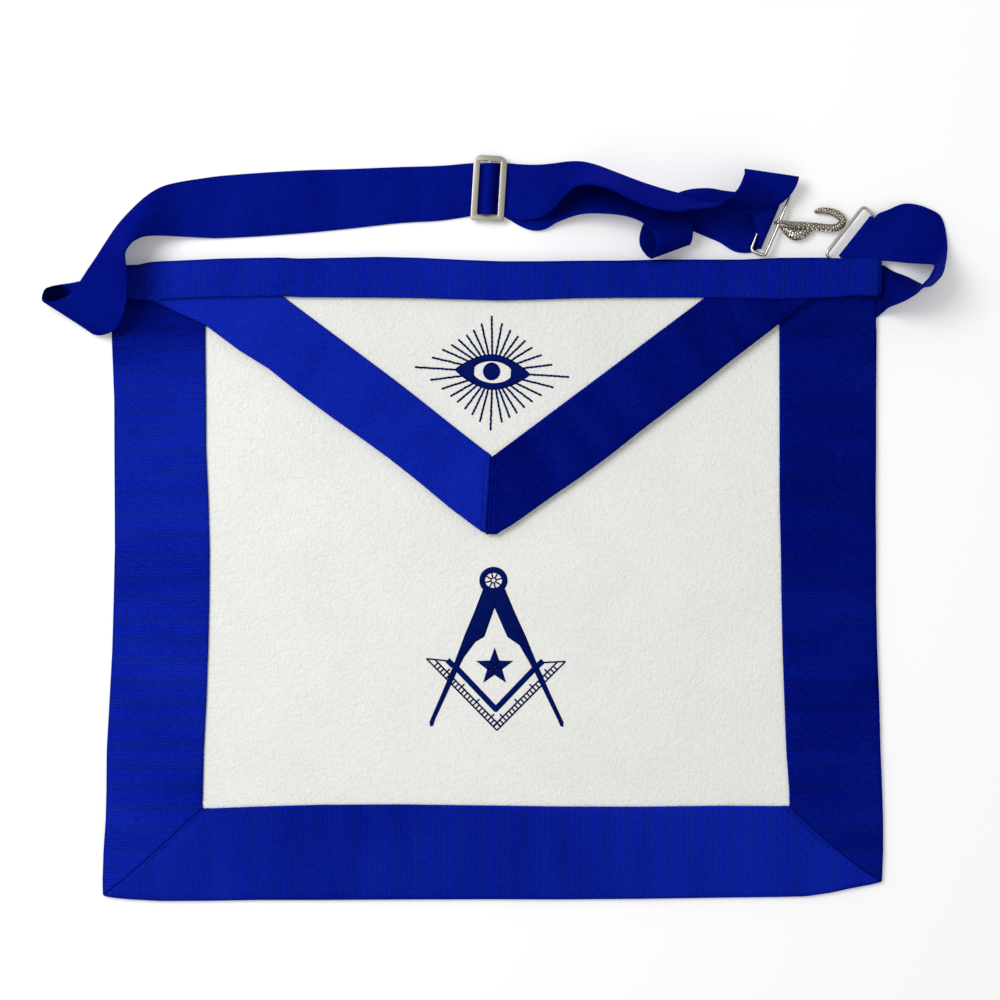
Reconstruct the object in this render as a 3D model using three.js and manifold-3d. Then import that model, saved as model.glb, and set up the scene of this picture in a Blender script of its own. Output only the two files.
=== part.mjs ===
// A masonic apron of white leather with blue ribbon borders, a triangular flap, and a webbing belt
// with a slider, two rings and a snake hook, lying flat. Millimetres, X to the right, Y towards the
// top edge, Z up, zero at the centre of the panel's underside.
import * as THREE from 'three';
import Module from 'manifold-3d';

const wasm = await Module();
wasm.setup();

// Sizes of the apron
const WIDE = 406;
const HIGH = 334;
const GAP = 0.3;
const BORDER = 48.5;
const FLAP_RIBBON = 35;
const FLAP_SLOPE = 36.8;
const FLAP_TIP_X = -0.001;
const FLAP_TIP_Y = 0.064;
const FLAP_SEAM = { foot: 3.4, head: 0.8 };
const FLAP_RIGHT_LOWER = 1.6;
const FLAP_BLUNT = 2.0;
const FLAP_FAN = { x: -150.5, y: 131.6, endX: -173.5, endY: 144 };
const PI = Math.PI;

// Thickness of each layer, and the heights that follow from it
const LEATHER = 1.5;
const RIBBON = 1.0;
const FLAP_LEATHER = 1.2;
const BORDER_LOW = LEATHER + GAP;
const BORDER_TOP = BORDER_LOW + RIBBON;
const FLAP_LOW = BORDER_TOP + GAP;
const FLAP_TOP = FLAP_LOW + FLAP_LEATHER;
const FLAP_RIBBON_LOW = FLAP_TOP + GAP;
const FLAP_RIBBON_TOP = FLAP_RIBBON_LOW + RIBBON;
const BAND_LOW = FLAP_RIBBON_TOP + GAP;
const BAND_TOP = BAND_LOW + RIBBON;

// Webbing, and the room left for its ends under the top corners
const WEB = 30;
const WEB_THICK = 1.2;
const WEB_STEP = 6;
const WEB_MOST = 12;
const END_ROOM = 18;
const END_HIGH = 37.8;
const UNDER_BAND = 5.7;

// Outline of the apron, one row per height: down from the top edge as a share of the height, and the
// outer and inner edges of the side ribbons as shares of the width
const SIDES = [
  { down: 0.000, left: -0.4896, leftIn: -0.3699, rightIn: 0.3669, right: 0.4921 },
  { down: 0.127, left: -0.4902, leftIn: -0.3698, rightIn: 0.3669, right: 0.4921 },
  { down: 0.221, left: -0.4871, leftIn: -0.3690, rightIn: 0.3671, right: 0.4916 },
  { down: 0.299, left: -0.4869, leftIn: -0.3688, rightIn: 0.3672, right: 0.4915 },
  { down: 0.377, left: -0.4866, leftIn: -0.3658, rightIn: 0.3672, right: 0.4910 },
  { down: 0.455, left: -0.4864, leftIn: -0.3643, rightIn: 0.3688, right: 0.4915 },
  { down: 0.534, left: -0.4879, leftIn: -0.3647, rightIn: 0.3697, right: 0.4916 },
  { down: 0.612, left: -0.4897, leftIn: -0.3662, rightIn: 0.3711, right: 0.4930 },
  { down: 0.690, left: -0.4932, leftIn: -0.3684, rightIn: 0.3734, right: 0.4956 },
  { down: 0.768, left: -0.4968, leftIn: -0.3717, rightIn: 0.3759, right: 0.4972 },
  { down: 0.830, left: -0.4972, leftIn: -0.3730, rightIn: 0.3796, right: 0.4993 },
  { down: 0.877, left: -0.4982, leftIn: -0.3735, rightIn: 0.3805, right: 0.5005 },
  { down: 0.924, left: -0.5010, leftIn: -0.3735, rightIn: 0.3807, right: 0.5006 },
  { down: 0.971, left: -0.5023, leftIn: -0.3735, rightIn: 0.3807, right: 0.4992 },
  { down: 1.000, left: -0.5018, leftIn: -0.3735, rightIn: 0.3807, right: 0.4966 },
];

// Bottom ribbon, one row per place across: share of the width, and millimetres up from the foot line
// to its outer and inner edges
const FOOT = [
  { across: -0.5005, rise: 1.60, inner: 47.3 },
  { across: -0.4902, rise: 0.70, inner: 47.3 },
  { across: -0.4671, rise: -0.20, inner: 47.3 },
  { across: -0.4285, rise: -1.10, inner: 47.3 },
  { across: -0.3643, rise: -1.00, inner: 47.3 },
  { across: -0.3000, rise: -0.60, inner: 48.3 },
  { across: -0.2229, rise: -0.60, inner: 49.2 },
  { across: -0.1201, rise: -0.35, inner: 49.4 },
  { across: -0.0006, rise: -0.20, inner: 48.8 },
  { across: 0.0855, rise: -0.30, inner: 48.3 },
  { across: 0.1882, rise: 0.00, inner: 48.2 },
  { across: 0.2910, rise: 0.60, inner: 48.7 },
  { across: 0.3681, rise: 1.00, inner: 48.5 },
  { across: 0.4003, rise: 1.30, inner: 48.5 },
  { across: 0.4324, rise: 3.20, inner: 48.5 },
  { across: 0.4581, rise: 5.50, inner: 48.5 },
  { across: 0.4838, rise: 7.50, inner: 48.5 },
  { across: 0.4992, rise: 9.00, inner: 48.5 },
];

// The band, one row per place across: share of the width, and millimetres from the apron's top line
// up to the band's upper edge and down to its lower edge
const BROW = [
  { across: -0.4920, rise: -4.00, lower: 20.8 },
  { across: -0.4540, rise: -3.60, lower: 21.5 },
  { across: -0.4420, rise: -2.40, lower: 22.1 },
  { across: -0.4285, rise: -1.90, lower: 22.8 },
  { across: -0.4234, rise: -1.75, lower: 21.6 },
  { across: -0.4100, rise: -1.60, lower: 21.3 },
  { across: -0.3591, rise: -0.60, lower: 20.6 },
  { across: -0.3450, rise: -0.35, lower: 20.5 },
  { across: -0.2717, rise: 0.15, lower: 20.1 },
  { across: -0.2486, rise: -0.40, lower: 20.5 },
  { across: -0.1972, rise: 0.05, lower: 20.7 },
  { across: -0.1458, rise: 0.50, lower: 20.8 },
  { across: -0.0944, rise: 0.00, lower: 21.1 },
  { across: -0.0430, rise: -1.00, lower: 21.7 },
  { across: 0.0084, rise: -1.80, lower: 22.3 },
  { across: 0.0598, rise: -1.80, lower: 21.8 },
  { across: 0.1111, rise: -1.50, lower: 21.1 },
  { across: 0.1625, rise: -1.45, lower: 20.9 },
  { across: 0.2139, rise: -0.90, lower: 20.9 },
  { across: 0.2653, rise: -0.90, lower: 20.8 },
  { across: 0.3167, rise: -0.95, lower: 21.0 },
  { across: 0.3681, rise: 0.00, lower: 21.5 },
  { across: 0.4324, rise: 0.10, lower: 20.6 },
  { across: 0.4671, rise: 0.10, lower: 19.4 },
  { across: 0.4965, rise: 0.10, lower: 20.2 },
];

// The long belt, one row per section: centre as shares of the apron, height as a share of the
// webbing width, the line across the webbing by its turn and tilt in degrees, and its width share
const LONG_BELT = [
  { x: -0.4591, y: 0.4356, lift: 0.025, turn: -90.0, tilt: 0.0, wide: 0.991 },
  { x: -0.4874, y: 0.4348, lift: 0.025, turn: -90.0, tilt: 0.0, wide: 0.991 },
  { x: -0.5021, y: 0.4290, lift: 0.028, turn: -78.6, tilt: -0.3, wide: 0.966 },
  { x: -0.5181, y: 0.4223, lift: 0.034, turn: -61.8, tilt: -0.7, wide: 1.024 },
  { x: -0.5395, y: 0.4169, lift: 0.062, turn: -41.3, tilt: -1.7, wide: 1.226 },
  { x: -0.5455, y: 0.4098, lift: 0.133, turn: -34.8, tilt: -3.2, wide: 1.072 },
  { x: -0.5366, y: 0.4046, lift: 0.230, turn: -31.4, tilt: -4.7, wide: 1.072 },
  { x: -0.5188, y: 0.4096, lift: 0.300, turn: -33.3, tilt: 0.0, wide: 1.037 },
  { x: -0.5051, y: 0.4212, lift: 0.367, turn: -33.7, tilt: 7.5, wide: 1.003 },
  { x: -0.4958, y: 0.4418, lift: 0.467, turn: -33.5, tilt: 22.5, wide: 1.043 },
  { x: -0.4901, y: 0.4607, lift: 0.525, turn: -29.4, tilt: 33.7, wide: 1.051 },
  { x: -0.4850, y: 0.4832, lift: 0.550, turn: -27.7, tilt: 46.5, wide: 1.056 },
  { x: -0.4801, y: 0.5069, lift: 0.533, turn: -38.7, tilt: 56.3, wide: 1.042 },
  { x: -0.4727, y: 0.5272, lift: 0.478, turn: -64.5, tilt: 56.1, wide: 1.056 },
  { x: -0.4624, y: 0.5435, lift: 0.430, turn: -82.8, tilt: 49.9, wide: 1.054 },
  { x: -0.4492, y: 0.5594, lift: 0.347, turn: -95.7, tilt: 38.3, wide: 1.032 },
  { x: -0.4342, y: 0.5704, lift: 0.255, turn: -102.4, tilt: 26.6, wide: 1.020 },
  { x: -0.4153, y: 0.5752, lift: 0.163, turn: -102.4, tilt: 15.8, wide: 1.002 },
  { x: -0.3905, y: 0.5779, lift: 0.080, turn: -101.0, tilt: 6.0, wide: 1.026 },
  { x: -0.3480, y: 0.5803, lift: 0.033, turn: -94.5, tilt: 0.7, wide: 1.091 },
  { x: -0.2504, y: 0.5878, lift: 0.027, turn: -92.7, tilt: 0.0, wide: 1.096 },
  { x: -0.1843, y: 0.5929, lift: 0.027, turn: -90.0, tilt: 0.0, wide: 1.034 },
  { x: -0.1201, y: 0.5987, lift: 0.027, turn: -90.0, tilt: 0.0, wide: 0.973 },
  { x: -0.0687, y: 0.6016, lift: 0.027, turn: -90.0, tilt: 0.0, wide: 0.951 },
  { x: -0.0327, y: 0.6065, lift: 0.027, turn: -93.4, tilt: 0.0, wide: 0.929 },
  { x: -0.0218, y: 0.6079, lift: 0.053, turn: -93.4, tilt: 0.0, wide: 0.899 },
  { x: -0.0183, y: 0.6078, lift: 0.070, turn: -93.4, tilt: 0.0, wide: 0.898 },
  { x: -0.0163, y: 0.6076, lift: 0.088, turn: -93.4, tilt: 0.0, wide: 0.889 },
  { x: -0.0145, y: 0.6077, lift: 0.113, turn: -93.4, tilt: 0.0, wide: 0.879 },
  { x: -0.0139, y: 0.6074, lift: 0.153, turn: -93.4, tilt: 0.0, wide: 0.878 },
  { x: -0.0123, y: 0.6066, lift: 0.210, turn: -93.4, tilt: 0.0, wide: 0.887 },
  { x: -0.0088, y: 0.6063, lift: 0.235, turn: -93.4, tilt: 0.0, wide: 0.895 },
  { x: -0.0057, y: 0.6064, lift: 0.237, turn: -93.4, tilt: 0.0, wide: 0.895 },
  { x: -0.0027, y: 0.6064, lift: 0.223, turn: -93.4, tilt: 0.0, wide: 0.895 },
  { x: 0.0001, y: 0.6068, lift: 0.187, turn: -93.4, tilt: 0.0, wide: 0.896 },
  { x: 0.0015, y: 0.6074, lift: 0.140, turn: -93.4, tilt: 0.0, wide: 0.897 },
  { x: 0.0033, y: 0.6077, lift: 0.097, turn: -93.4, tilt: 0.0, wide: 0.898 },
  { x: 0.0064, y: 0.6078, lift: 0.075, turn: -93.4, tilt: 0.0, wide: 0.898 },
  { x: 0.0186, y: 0.6060, lift: 0.074, turn: -94.0, tilt: 0.0, wide: 0.928 },
  { x: 0.0334, y: 0.6030, lift: 0.080, turn: -91.0, tilt: 0.0, wide: 0.960 },
  { x: 0.0500, y: 0.6025, lift: 0.107, turn: -91.1, tilt: 3.2, wide: 0.954 },
  { x: 0.0659, y: 0.6050, lift: 0.207, turn: -90.3, tilt: 15.6, wide: 0.940 },
  { x: 0.0791, y: 0.6110, lift: 0.340, turn: -92.0, tilt: 32.8, wide: 0.961 },
  { x: 0.0948, y: 0.6213, lift: 0.448, turn: -98.1, tilt: 49.2, wide: 0.973 },
  { x: 0.1087, y: 0.6262, lift: 0.515, turn: -104.3, tilt: 58.6, wide: 1.019 },
  { x: 0.1277, y: 0.6247, lift: 0.537, turn: -103.4, tilt: 64.0, wide: 1.016 },
  { x: 0.1524, y: 0.6152, lift: 0.540, turn: -103.1, tilt: 65.9, wide: 1.008 },
  { x: 0.1841, y: 0.5982, lift: 0.542, turn: -102.9, tilt: 63.4, wide: 1.026 },
  { x: 0.2095, y: 0.5882, lift: 0.543, turn: -103.8, tilt: 63.3, wide: 1.022 },
  { x: 0.2329, y: 0.5823, lift: 0.548, turn: -103.9, tilt: 65.8, wide: 1.012 },
  { x: 0.2551, y: 0.5808, lift: 0.560, turn: -107.0, tilt: 71.8, wide: 0.997 },
  { x: 0.2702, y: 0.5799, lift: 0.577, turn: -113.0, tilt: 75.6, wide: 1.012 },
  { x: 0.2828, y: 0.5787, lift: 0.585, turn: -121.4, tilt: 78.7, wide: 1.010 },
  { x: 0.2929, y: 0.5794, lift: 0.587, turn: 161.6, tilt: 85.6, wide: 0.963 },
  { x: 0.3036, y: 0.5811, lift: 0.600, turn: 140.9, tilt: 77.7, wide: 0.921 },
  { x: 0.3183, y: 0.5842, lift: 0.600, turn: 145.9, tilt: 62.4, wide: 0.865 },
  { x: 0.3296, y: 0.5900, lift: 0.567, turn: 147.9, tilt: 45.5, wide: 0.841 },
  { x: 0.3400, y: 0.5985, lift: 0.497, turn: 149.6, tilt: 27.9, wide: 0.868 },
  { x: 0.3491, y: 0.6113, lift: 0.423, turn: 159.0, tilt: 14.0, wide: 0.910 },
  { x: 0.3536, y: 0.6216, lift: 0.377, turn: 167.5, tilt: 6.9, wide: 0.938 },
  { x: 0.3552, y: 0.6292, lift: 0.292, turn: 172.1, tilt: 3.0, wide: 0.957 },
  { x: 0.3552, y: 0.6231, lift: 0.213, turn: 171.3, tilt: 0.0, wide: 0.919 },
  { x: 0.3540, y: 0.6096, lift: 0.200, turn: 178.0, tilt: -1.0, wide: 0.804 },
  { x: 0.3519, y: 0.5946, lift: 0.188, turn: -161.8, tilt: -2.4, wide: 0.708 },
  { x: 0.3520, y: 0.5815, lift: 0.183, turn: -138.7, tilt: -2.8, wide: 0.700 },
  { x: 0.3535, y: 0.5668, lift: 0.172, turn: -121.4, tilt: -1.8, wide: 0.820 },
  { x: 0.3548, y: 0.5554, lift: 0.135, turn: -113.0, tilt: 0.0, wide: 0.985 },
  { x: 0.3560, y: 0.5548, lift: 0.093, turn: -113.0, tilt: 0.0, wide: 0.986 },
  { x: 0.3538, y: 0.5558, lift: 0.045, turn: -113.0, tilt: 0.0, wide: 0.987 },
  { x: 0.3468, y: 0.5553, lift: 0.022, turn: -113.0, tilt: 0.0, wide: 1.120 },
  { x: 0.3240, y: 0.5550, lift: 0.024, turn: -111.5, tilt: 0.0, wide: 1.060 },
  { x: 0.3037, y: 0.5636, lift: 0.025, turn: -111.8, tilt: 0.0, wide: 0.936 },
  { x: 0.2851, y: 0.5695, lift: 0.025, turn: -110.1, tilt: 0.0, wide: 0.860 },
  { x: 0.2681, y: 0.5749, lift: 0.025, turn: -104.5, tilt: 0.0, wide: 0.799 },
  { x: 0.2523, y: 0.5745, lift: 0.027, turn: -79.0, tilt: 0.1, wide: 0.726 },
  { x: 0.2392, y: 0.5667, lift: 0.031, turn: -50.1, tilt: -0.4, wide: 0.746 },
  { x: 0.2288, y: 0.5536, lift: 0.053, turn: -27.0, tilt: -2.8, wide: 0.813 },
  { x: 0.2222, y: 0.5387, lift: 0.102, turn: -10.5, tilt: -6.1, wide: 0.903 },
  { x: 0.2202, y: 0.5215, lift: 0.187, turn: 4.4, tilt: -10.1, wide: 0.910 },
  { x: 0.2260, y: 0.5093, lift: 0.302, turn: 21.6, tilt: -17.2, wide: 0.776 },
  { x: 0.2304, y: 0.5226, lift: 0.492, turn: 20.5, tilt: -22.8, wide: 0.730 },
  { x: 0.2274, y: 0.5424, lift: 0.525, turn: 17.2, tilt: -22.4, wide: 0.742 },
  { x: 0.2134, y: 0.5634, lift: 0.392, turn: 38.3, tilt: -24.8, wide: 0.754 },
  { x: 0.1979, y: 0.5772, lift: 0.303, turn: 61.9, tilt: -28.9, wide: 0.676 },
  { x: 0.1742, y: 0.5884, lift: 0.307, turn: 74.9, tilt: -36.2, wide: 0.768 },
  { x: 0.1418, y: 0.5989, lift: 0.270, turn: 84.5, tilt: -31.8, wide: 0.874 },
  { x: 0.1126, y: 0.6033, lift: 0.189, turn: 85.7, tilt: -21.0, wide: 0.899 },
  { x: 0.0834, y: 0.5980, lift: 0.096, turn: 86.7, tilt: -8.4, wide: 0.966 },
  { x: 0.0674, y: 0.5899, lift: 0.049, turn: 88.0, tilt: -2.8, wide: 0.998 },
  { x: 0.0514, y: 0.5881, lift: 0.031, turn: 89.0, tilt: -0.7, wide: 1.001 },
  { x: 0.0347, y: 0.5945, lift: 0.025, turn: 89.0, tilt: 0.0, wide: 0.982 },
  { x: 0.0135, y: 0.6068, lift: 0.024, turn: 86.6, tilt: 0.0, wide: 0.899 },
  { x: 0.0058, y: 0.6081, lift: 0.028, turn: 86.6, tilt: 0.0, wide: 0.899 },
  { x: -0.0045, y: 0.6081, lift: 0.075, turn: 86.6, tilt: 0.0, wide: 0.898 },
  { x: -0.0082, y: 0.6081, lift: 0.076, turn: 86.6, tilt: 0.0, wide: 0.898 },
  { x: -0.0099, y: 0.6080, lift: 0.084, turn: 86.6, tilt: 0.0, wide: 0.898 },
  { x: -0.0106, y: 0.6077, lift: 0.107, turn: 86.6, tilt: 0.0, wide: 0.898 },
  { x: -0.0106, y: 0.6072, lift: 0.153, turn: 86.6, tilt: 0.0, wide: 0.897 },
  { x: -0.0098, y: 0.6070, lift: 0.176, turn: 86.6, tilt: 0.0, wide: 0.896 },
  { x: -0.0082, y: 0.6069, lift: 0.184, turn: 86.6, tilt: 0.0, wide: 0.896 },
  { x: -0.0054, y: 0.6068, lift: 0.185, turn: 86.6, tilt: 0.0, wide: 0.896 },
];

// The short belt, in the same way, from the right top corner round the rail of its ring
const SHORT_BELT = [
  { x: 0.4649, y: 0.4459, lift: 0.025, turn: -91.0, tilt: 0.0, wide: 0.977 },
  { x: 0.4842, y: 0.4459, lift: 0.025, turn: -91.0, tilt: 0.0, wide: 0.977 },
  { x: 0.4928, y: 0.4487, lift: 0.025, turn: -91.6, tilt: 0.0, wide: 0.916 },
  { x: 0.4998, y: 0.4513, lift: 0.077, turn: -94.1, tilt: 7.0, wide: 0.824 },
  { x: 0.5060, y: 0.4513, lift: 0.222, turn: -97.4, tilt: 30.0, wide: 0.780 },
  { x: 0.5144, y: 0.4505, lift: 0.347, turn: -100.1, tilt: 47.8, wide: 0.864 },
  { x: 0.5247, y: 0.4503, lift: 0.422, turn: -106.8, tilt: 59.0, wide: 0.922 },
  { x: 0.5336, y: 0.4499, lift: 0.472, turn: -118.1, tilt: 67.5, wide: 0.963 },
  { x: 0.5411, y: 0.4500, lift: 0.505, turn: -136.5, tilt: 73.0, wide: 1.001 },
  { x: 0.5464, y: 0.4518, lift: 0.513, turn: -155.8, tilt: 74.7, wide: 1.009 },
  { x: 0.5519, y: 0.4560, lift: 0.513, turn: -169.5, tilt: 74.2, wide: 1.011 },
  { x: 0.5582, y: 0.4629, lift: 0.515, turn: -167.4, tilt: 72.1, wide: 1.019 },
  { x: 0.5634, y: 0.4719, lift: 0.508, turn: -164.3, tilt: 69.7, wide: 1.013 },
  { x: 0.5674, y: 0.4859, lift: 0.492, turn: -151.5, tilt: 67.5, wide: 0.992 },
  { x: 0.5684, y: 0.4994, lift: 0.467, turn: -134.3, tilt: 59.3, wide: 1.008 },
  { x: 0.5654, y: 0.5108, lift: 0.425, turn: -125.5, tilt: 48.4, wide: 1.048 },
  { x: 0.5603, y: 0.5209, lift: 0.350, turn: -121.0, tilt: 35.6, wide: 1.088 },
  { x: 0.5529, y: 0.5286, lift: 0.260, turn: -119.6, tilt: 23.8, wide: 1.108 },
  { x: 0.5426, y: 0.5335, lift: 0.188, turn: -117.0, tilt: 15.3, wide: 1.099 },
  { x: 0.5309, y: 0.5376, lift: 0.147, turn: -114.3, tilt: 9.8, wide: 1.101 },
  { x: 0.5199, y: 0.5397, lift: 0.128, turn: -109.5, tilt: 6.6, wide: 1.077 },
  { x: 0.5090, y: 0.5393, lift: 0.126, turn: -108.8, tilt: 4.3, wide: 1.037 },
  { x: 0.4931, y: 0.5353, lift: 0.140, turn: -110.9, tilt: 2.4, wide: 0.942 },
  { x: 0.4786, y: 0.5321, lift: 0.151, turn: -117.2, tilt: 0.9, wide: 0.933 },
  { x: 0.4679, y: 0.5301, lift: 0.156, turn: -128.3, tilt: 0.0, wide: 0.877 },
  { x: 0.4651, y: 0.5328, lift: 0.136, turn: -128.3, tilt: 0.0, wide: 0.877 },
  { x: 0.4640, y: 0.5339, lift: 0.088, turn: -128.3, tilt: 0.0, wide: 0.878 },
  { x: 0.4651, y: 0.5328, lift: 0.040, turn: -128.3, tilt: 0.0, wide: 0.879 },
  { x: 0.4679, y: 0.5301, lift: 0.023, turn: -128.3, tilt: 0.0, wide: 0.880 },
  { x: 0.4768, y: 0.5216, lift: 0.023, turn: -128.3, tilt: 0.0, wide: 0.880 },
];

// The snake hook, one row per bend: centre as shares of the apron, height and radius in millimetres
const SNAKE = [
  { x: 0.4086, y: 0.5415, lift: 1.90, round: 0.60 },
  { x: 0.4035, y: 0.5387, lift: 1.90, round: 1.30 },
  { x: 0.3964, y: 0.5353, lift: 2.40, round: 2.10 },
  { x: 0.3887, y: 0.5340, lift: 3.00, round: 2.70 },
  { x: 0.3816, y: 0.5359, lift: 2.80, round: 2.40 },
  { x: 0.3759, y: 0.5403, lift: 2.10, round: 1.60 },
  { x: 0.3710, y: 0.5459, lift: 1.70, round: 0.90 },
  { x: 0.3651, y: 0.5512, lift: 2.10, round: 0.80 },
  { x: 0.3613, y: 0.5535, lift: 3.05, round: 0.70 },
  { x: 0.3608, y: 0.5541, lift: 4.50, round: 0.70 },
  { x: 0.3622, y: 0.5548, lift: 6.05, round: 0.70 },
  { x: 0.3663, y: 0.5550, lift: 6.80, round: 0.85 },
  { x: 0.3725, y: 0.5543, lift: 5.90, round: 1.10 },
  { x: 0.3797, y: 0.5529, lift: 4.40, round: 1.50 },
  { x: 0.3881, y: 0.5520, lift: 3.30, round: 1.80 },
  { x: 0.3983, y: 0.5511, lift: 2.70, round: 2.00 },
  { x: 0.4105, y: 0.5493, lift: 2.50, round: 2.15 },
  { x: 0.4221, y: 0.5475, lift: 2.50, round: 2.20 },
  { x: 0.4324, y: 0.5464, lift: 2.50, round: 2.20 },
  { x: 0.4414, y: 0.5484, lift: 2.40, round: 2.15 },
  { x: 0.4470, y: 0.5539, lift: 2.35, round: 2.10 },
  { x: 0.4477, y: 0.5603, lift: 2.40, round: 2.10 },
  { x: 0.4427, y: 0.5668, lift: 2.60, round: 2.20 },
  { x: 0.4346, y: 0.5715, lift: 2.70, round: 2.10 },
  { x: 0.4247, y: 0.5737, lift: 2.60, round: 1.80 },
  { x: 0.4170, y: 0.5732, lift: 2.50, round: 1.45 },
  { x: 0.4113, y: 0.5715, lift: 2.40, round: 0.80 },
];

// A value between the rows of a table, by straight lines
function between(rows, key, value, at) {
  const last = rows.length - 1;
  const found = rows.findIndex((row) => row[key] >= at);
  const next = Math.max(1, found < 0 ? last : found);
  const low = rows[next - 1];
  const high = rows[next];
  const share = (at - low[key]) / (high[key] - low[key]);
  return low[value] + (high[value] - low[value]) * share;
}

const sideAt = (edge, y) => WIDE * between(SIDES, 'down', edge, 0.5 - y / HIGH);
const leftAt = (y) => sideAt('left', y);
const rightAt = (y) => sideAt('right', y);
const footAt = (x) => -HIGH / 2 + between(FOOT, 'across', 'rise', x / WIDE);
const hemAt = (x) => -HIGH / 2 + between(FOOT, 'across', 'inner', x / WIDE);
const browAt = (x) => HIGH / 2 + between(BROW, 'across', 'rise', x / WIDE);
const bandFootAt = (x) => HIGH / 2 - between(BROW, 'across', 'lower', x / WIDE);

// A closed solid from rings of points, each with the same number of points; the ends are closed by
// the given triangles of one ring, or the last ring joins the first
function skin(rings, cap) {
  const size = rings[0].length;
  const spots = rings.flat();
  const faces = [];
  const turns = cap ? rings.length - 1 : rings.length;
  for (let k = 0; k < turns; k += 1) {
    const next = ((k + 1) % rings.length) * size;
    for (let j = 0; j < size; j += 1) {
      const i = (j + 1) % size;
      faces.push([k * size + j, k * size + i, next + i]);
      faces.push([k * size + j, next + i, next + j]);
    }
  }
  if (cap) {
    const end = (rings.length - 1) * size;
    for (const [a, b, c] of cap) {
      faces.push([a, c, b]);
      faces.push([end + a, end + b, end + c]);
    }
  }
  const volume = faces.reduce(
    (sum, [a, b, c]) => sum + spots[a].dot(spots[b].clone().cross(spots[c])),
    0,
  );
  const outward = volume > 0 ? faces : faces.map(([a, b, c]) => [a, c, b]);
  const shape = new THREE.BufferGeometry();
  shape.setAttribute('position', new THREE.Float32BufferAttribute(spots.flatMap((p) => [p.x, p.y, p.z]), 3));
  shape.setIndex(outward.flat());
  return shape;
}

// Triangles that close the end of a section of six points
const sixPointEnd = () => [[0, 1, 4], [0, 4, 5], [1, 2, 3], [1, 3, 4]];

function solid(shape) {
  const made = new wasm.Manifold(new wasm.Mesh({
    numProp: 3,
    vertProperties: shape.attributes.position.array,
    triVerts: new Uint32Array(shape.index.array),
  }));
  return made;
}

function shapeOf(made) {
  const mesh = made.getMesh();
  const shape = new THREE.BufferGeometry();
  shape.setAttribute('position', new THREE.Float32BufferAttribute(mesh.vertProperties, 3));
  shape.setIndex([...mesh.triVerts]);
  return shape;
}

const block = (low, high) => wasm.Manifold
  .cube([high[0] - low[0], high[1] - low[1], high[2] - low[2]])
  .translate(low);

const apron = new THREE.Group();
apron.name = 'masonic_apron';

function add(name, shape) {
  const mesh = new THREE.Mesh(shape.index ? shape.toNonIndexed() : shape, new THREE.MeshStandardMaterial());
  mesh.name = name;
  apron.add(mesh);
}

// A flat sheet between two heights
function sheet(corners, low, high) {
  const outline = new THREE.Shape(corners.map(([x, y]) => new THREE.Vector2(x, y)));
  const shape = new THREE.ExtrudeGeometry(outline, { depth: high - low, bevelEnabled: false });
  return shape.translate(0, 0, low);
}

// The leather field, a lip and a gap inside the outline, with the top corners cut for the belt ends
const INSET = RIBBON + 1.5 * GAP;
const STEPS = 24;
const steps = (from, to, count) => Array.from(
  { length: count + 1 },
  (_, k) => from + (to - from) * k / count,
);
const fieldTop = HIGH / 2 - UNDER_BAND;
const endLow = HIGH / 2 - END_HIGH;
const fieldFoot = -HIGH / 2 + INSET;
const panelLeft = steps(endLow, fieldFoot, STEPS).map((y) => [leftAt(y) + INSET, y]);
const panelRight = steps(fieldFoot, endLow, STEPS).map((y) => [rightAt(y) - INSET, y]);
panelLeft.pop();
panelRight.shift();
const panelFoot = steps(-0.5, 0.5, STEPS)
  .map((share) => share * (WIDE - 2 * INSET))
  .map((x) => [x, footAt(x) + INSET])
  .filter(([x, y]) => x > leftAt(y) + INSET && x < rightAt(y) - INSET);
const cutLeft = leftAt(endLow) + END_ROOM;
const cutRight = rightAt(endLow) - END_ROOM;
add('panel', sheet([
  [cutRight, endLow],
  [cutRight, fieldTop],
  [cutLeft, fieldTop],
  [cutLeft, endLow],
  ...panelLeft,
  ...panelFoot,
  ...panelRight,
], 0, LEATHER));

// A ribbon laid along an edge and turned down over it, from the edge's line, its inward direction
// and where each line across the ribbon starts and ends
function edging(place, low, wide) {
  const top = low + RIBBON;
  const lines = [
    { inward: 0, z: 0 },
    { inward: 0, z: top },
    { inward: wide, z: top },
    { inward: wide, z: low },
    { inward: RIBBON, z: low },
    { inward: RIBBON, z: 0 },
  ];
  const rings = steps(0, 1, STEPS).map((share) => lines.map((line) => {
    const [x, y] = place(share, line.inward);
    return new THREE.Vector3(x, y, line.z);
  }));
  return skin(rings, sixPointEnd());
}

// Side ribbons run from under the band down to a mitre; the cut leaves a gap at the mitre
const ribbonTop = HIGH / 2 - UNDER_BAND;
const MITRE = GAP * 0.75;
const mitre = (side, share) => {
  const edge = side < 0 ? 'left' : 'right';
  let outer = sideAt(edge, -HIGH / 2);
  for (let k = 0; k < 3; k += 1) outer = sideAt(edge, footAt(outer));
  const x = outer + (sideAt(edge + 'In', hemAt(outer)) - outer) * share;
  return { x, y: footAt(x) + (hemAt(x) - footAt(x)) * share };
};
const MITRE_PULL = 30;
const lip = (side) => (share, inward) => {
  const edge = side < 0 ? 'left' : 'right';
  const across = inward / BORDER;
  const lineAt = (y) => sideAt(edge, y) + (sideAt(edge + 'In', y) - sideAt(edge, y)) * across;
  const corner = mitre(side, across);
  const low = corner.y + MITRE;
  const y = ribbonTop + (low - ribbonTop) * share;
  const pull = Math.max(0, 1 - (y - low) / MITRE_PULL);
  return [lineAt(y) + (corner.x - lineAt(corner.y)) * pull, y];
};
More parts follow.
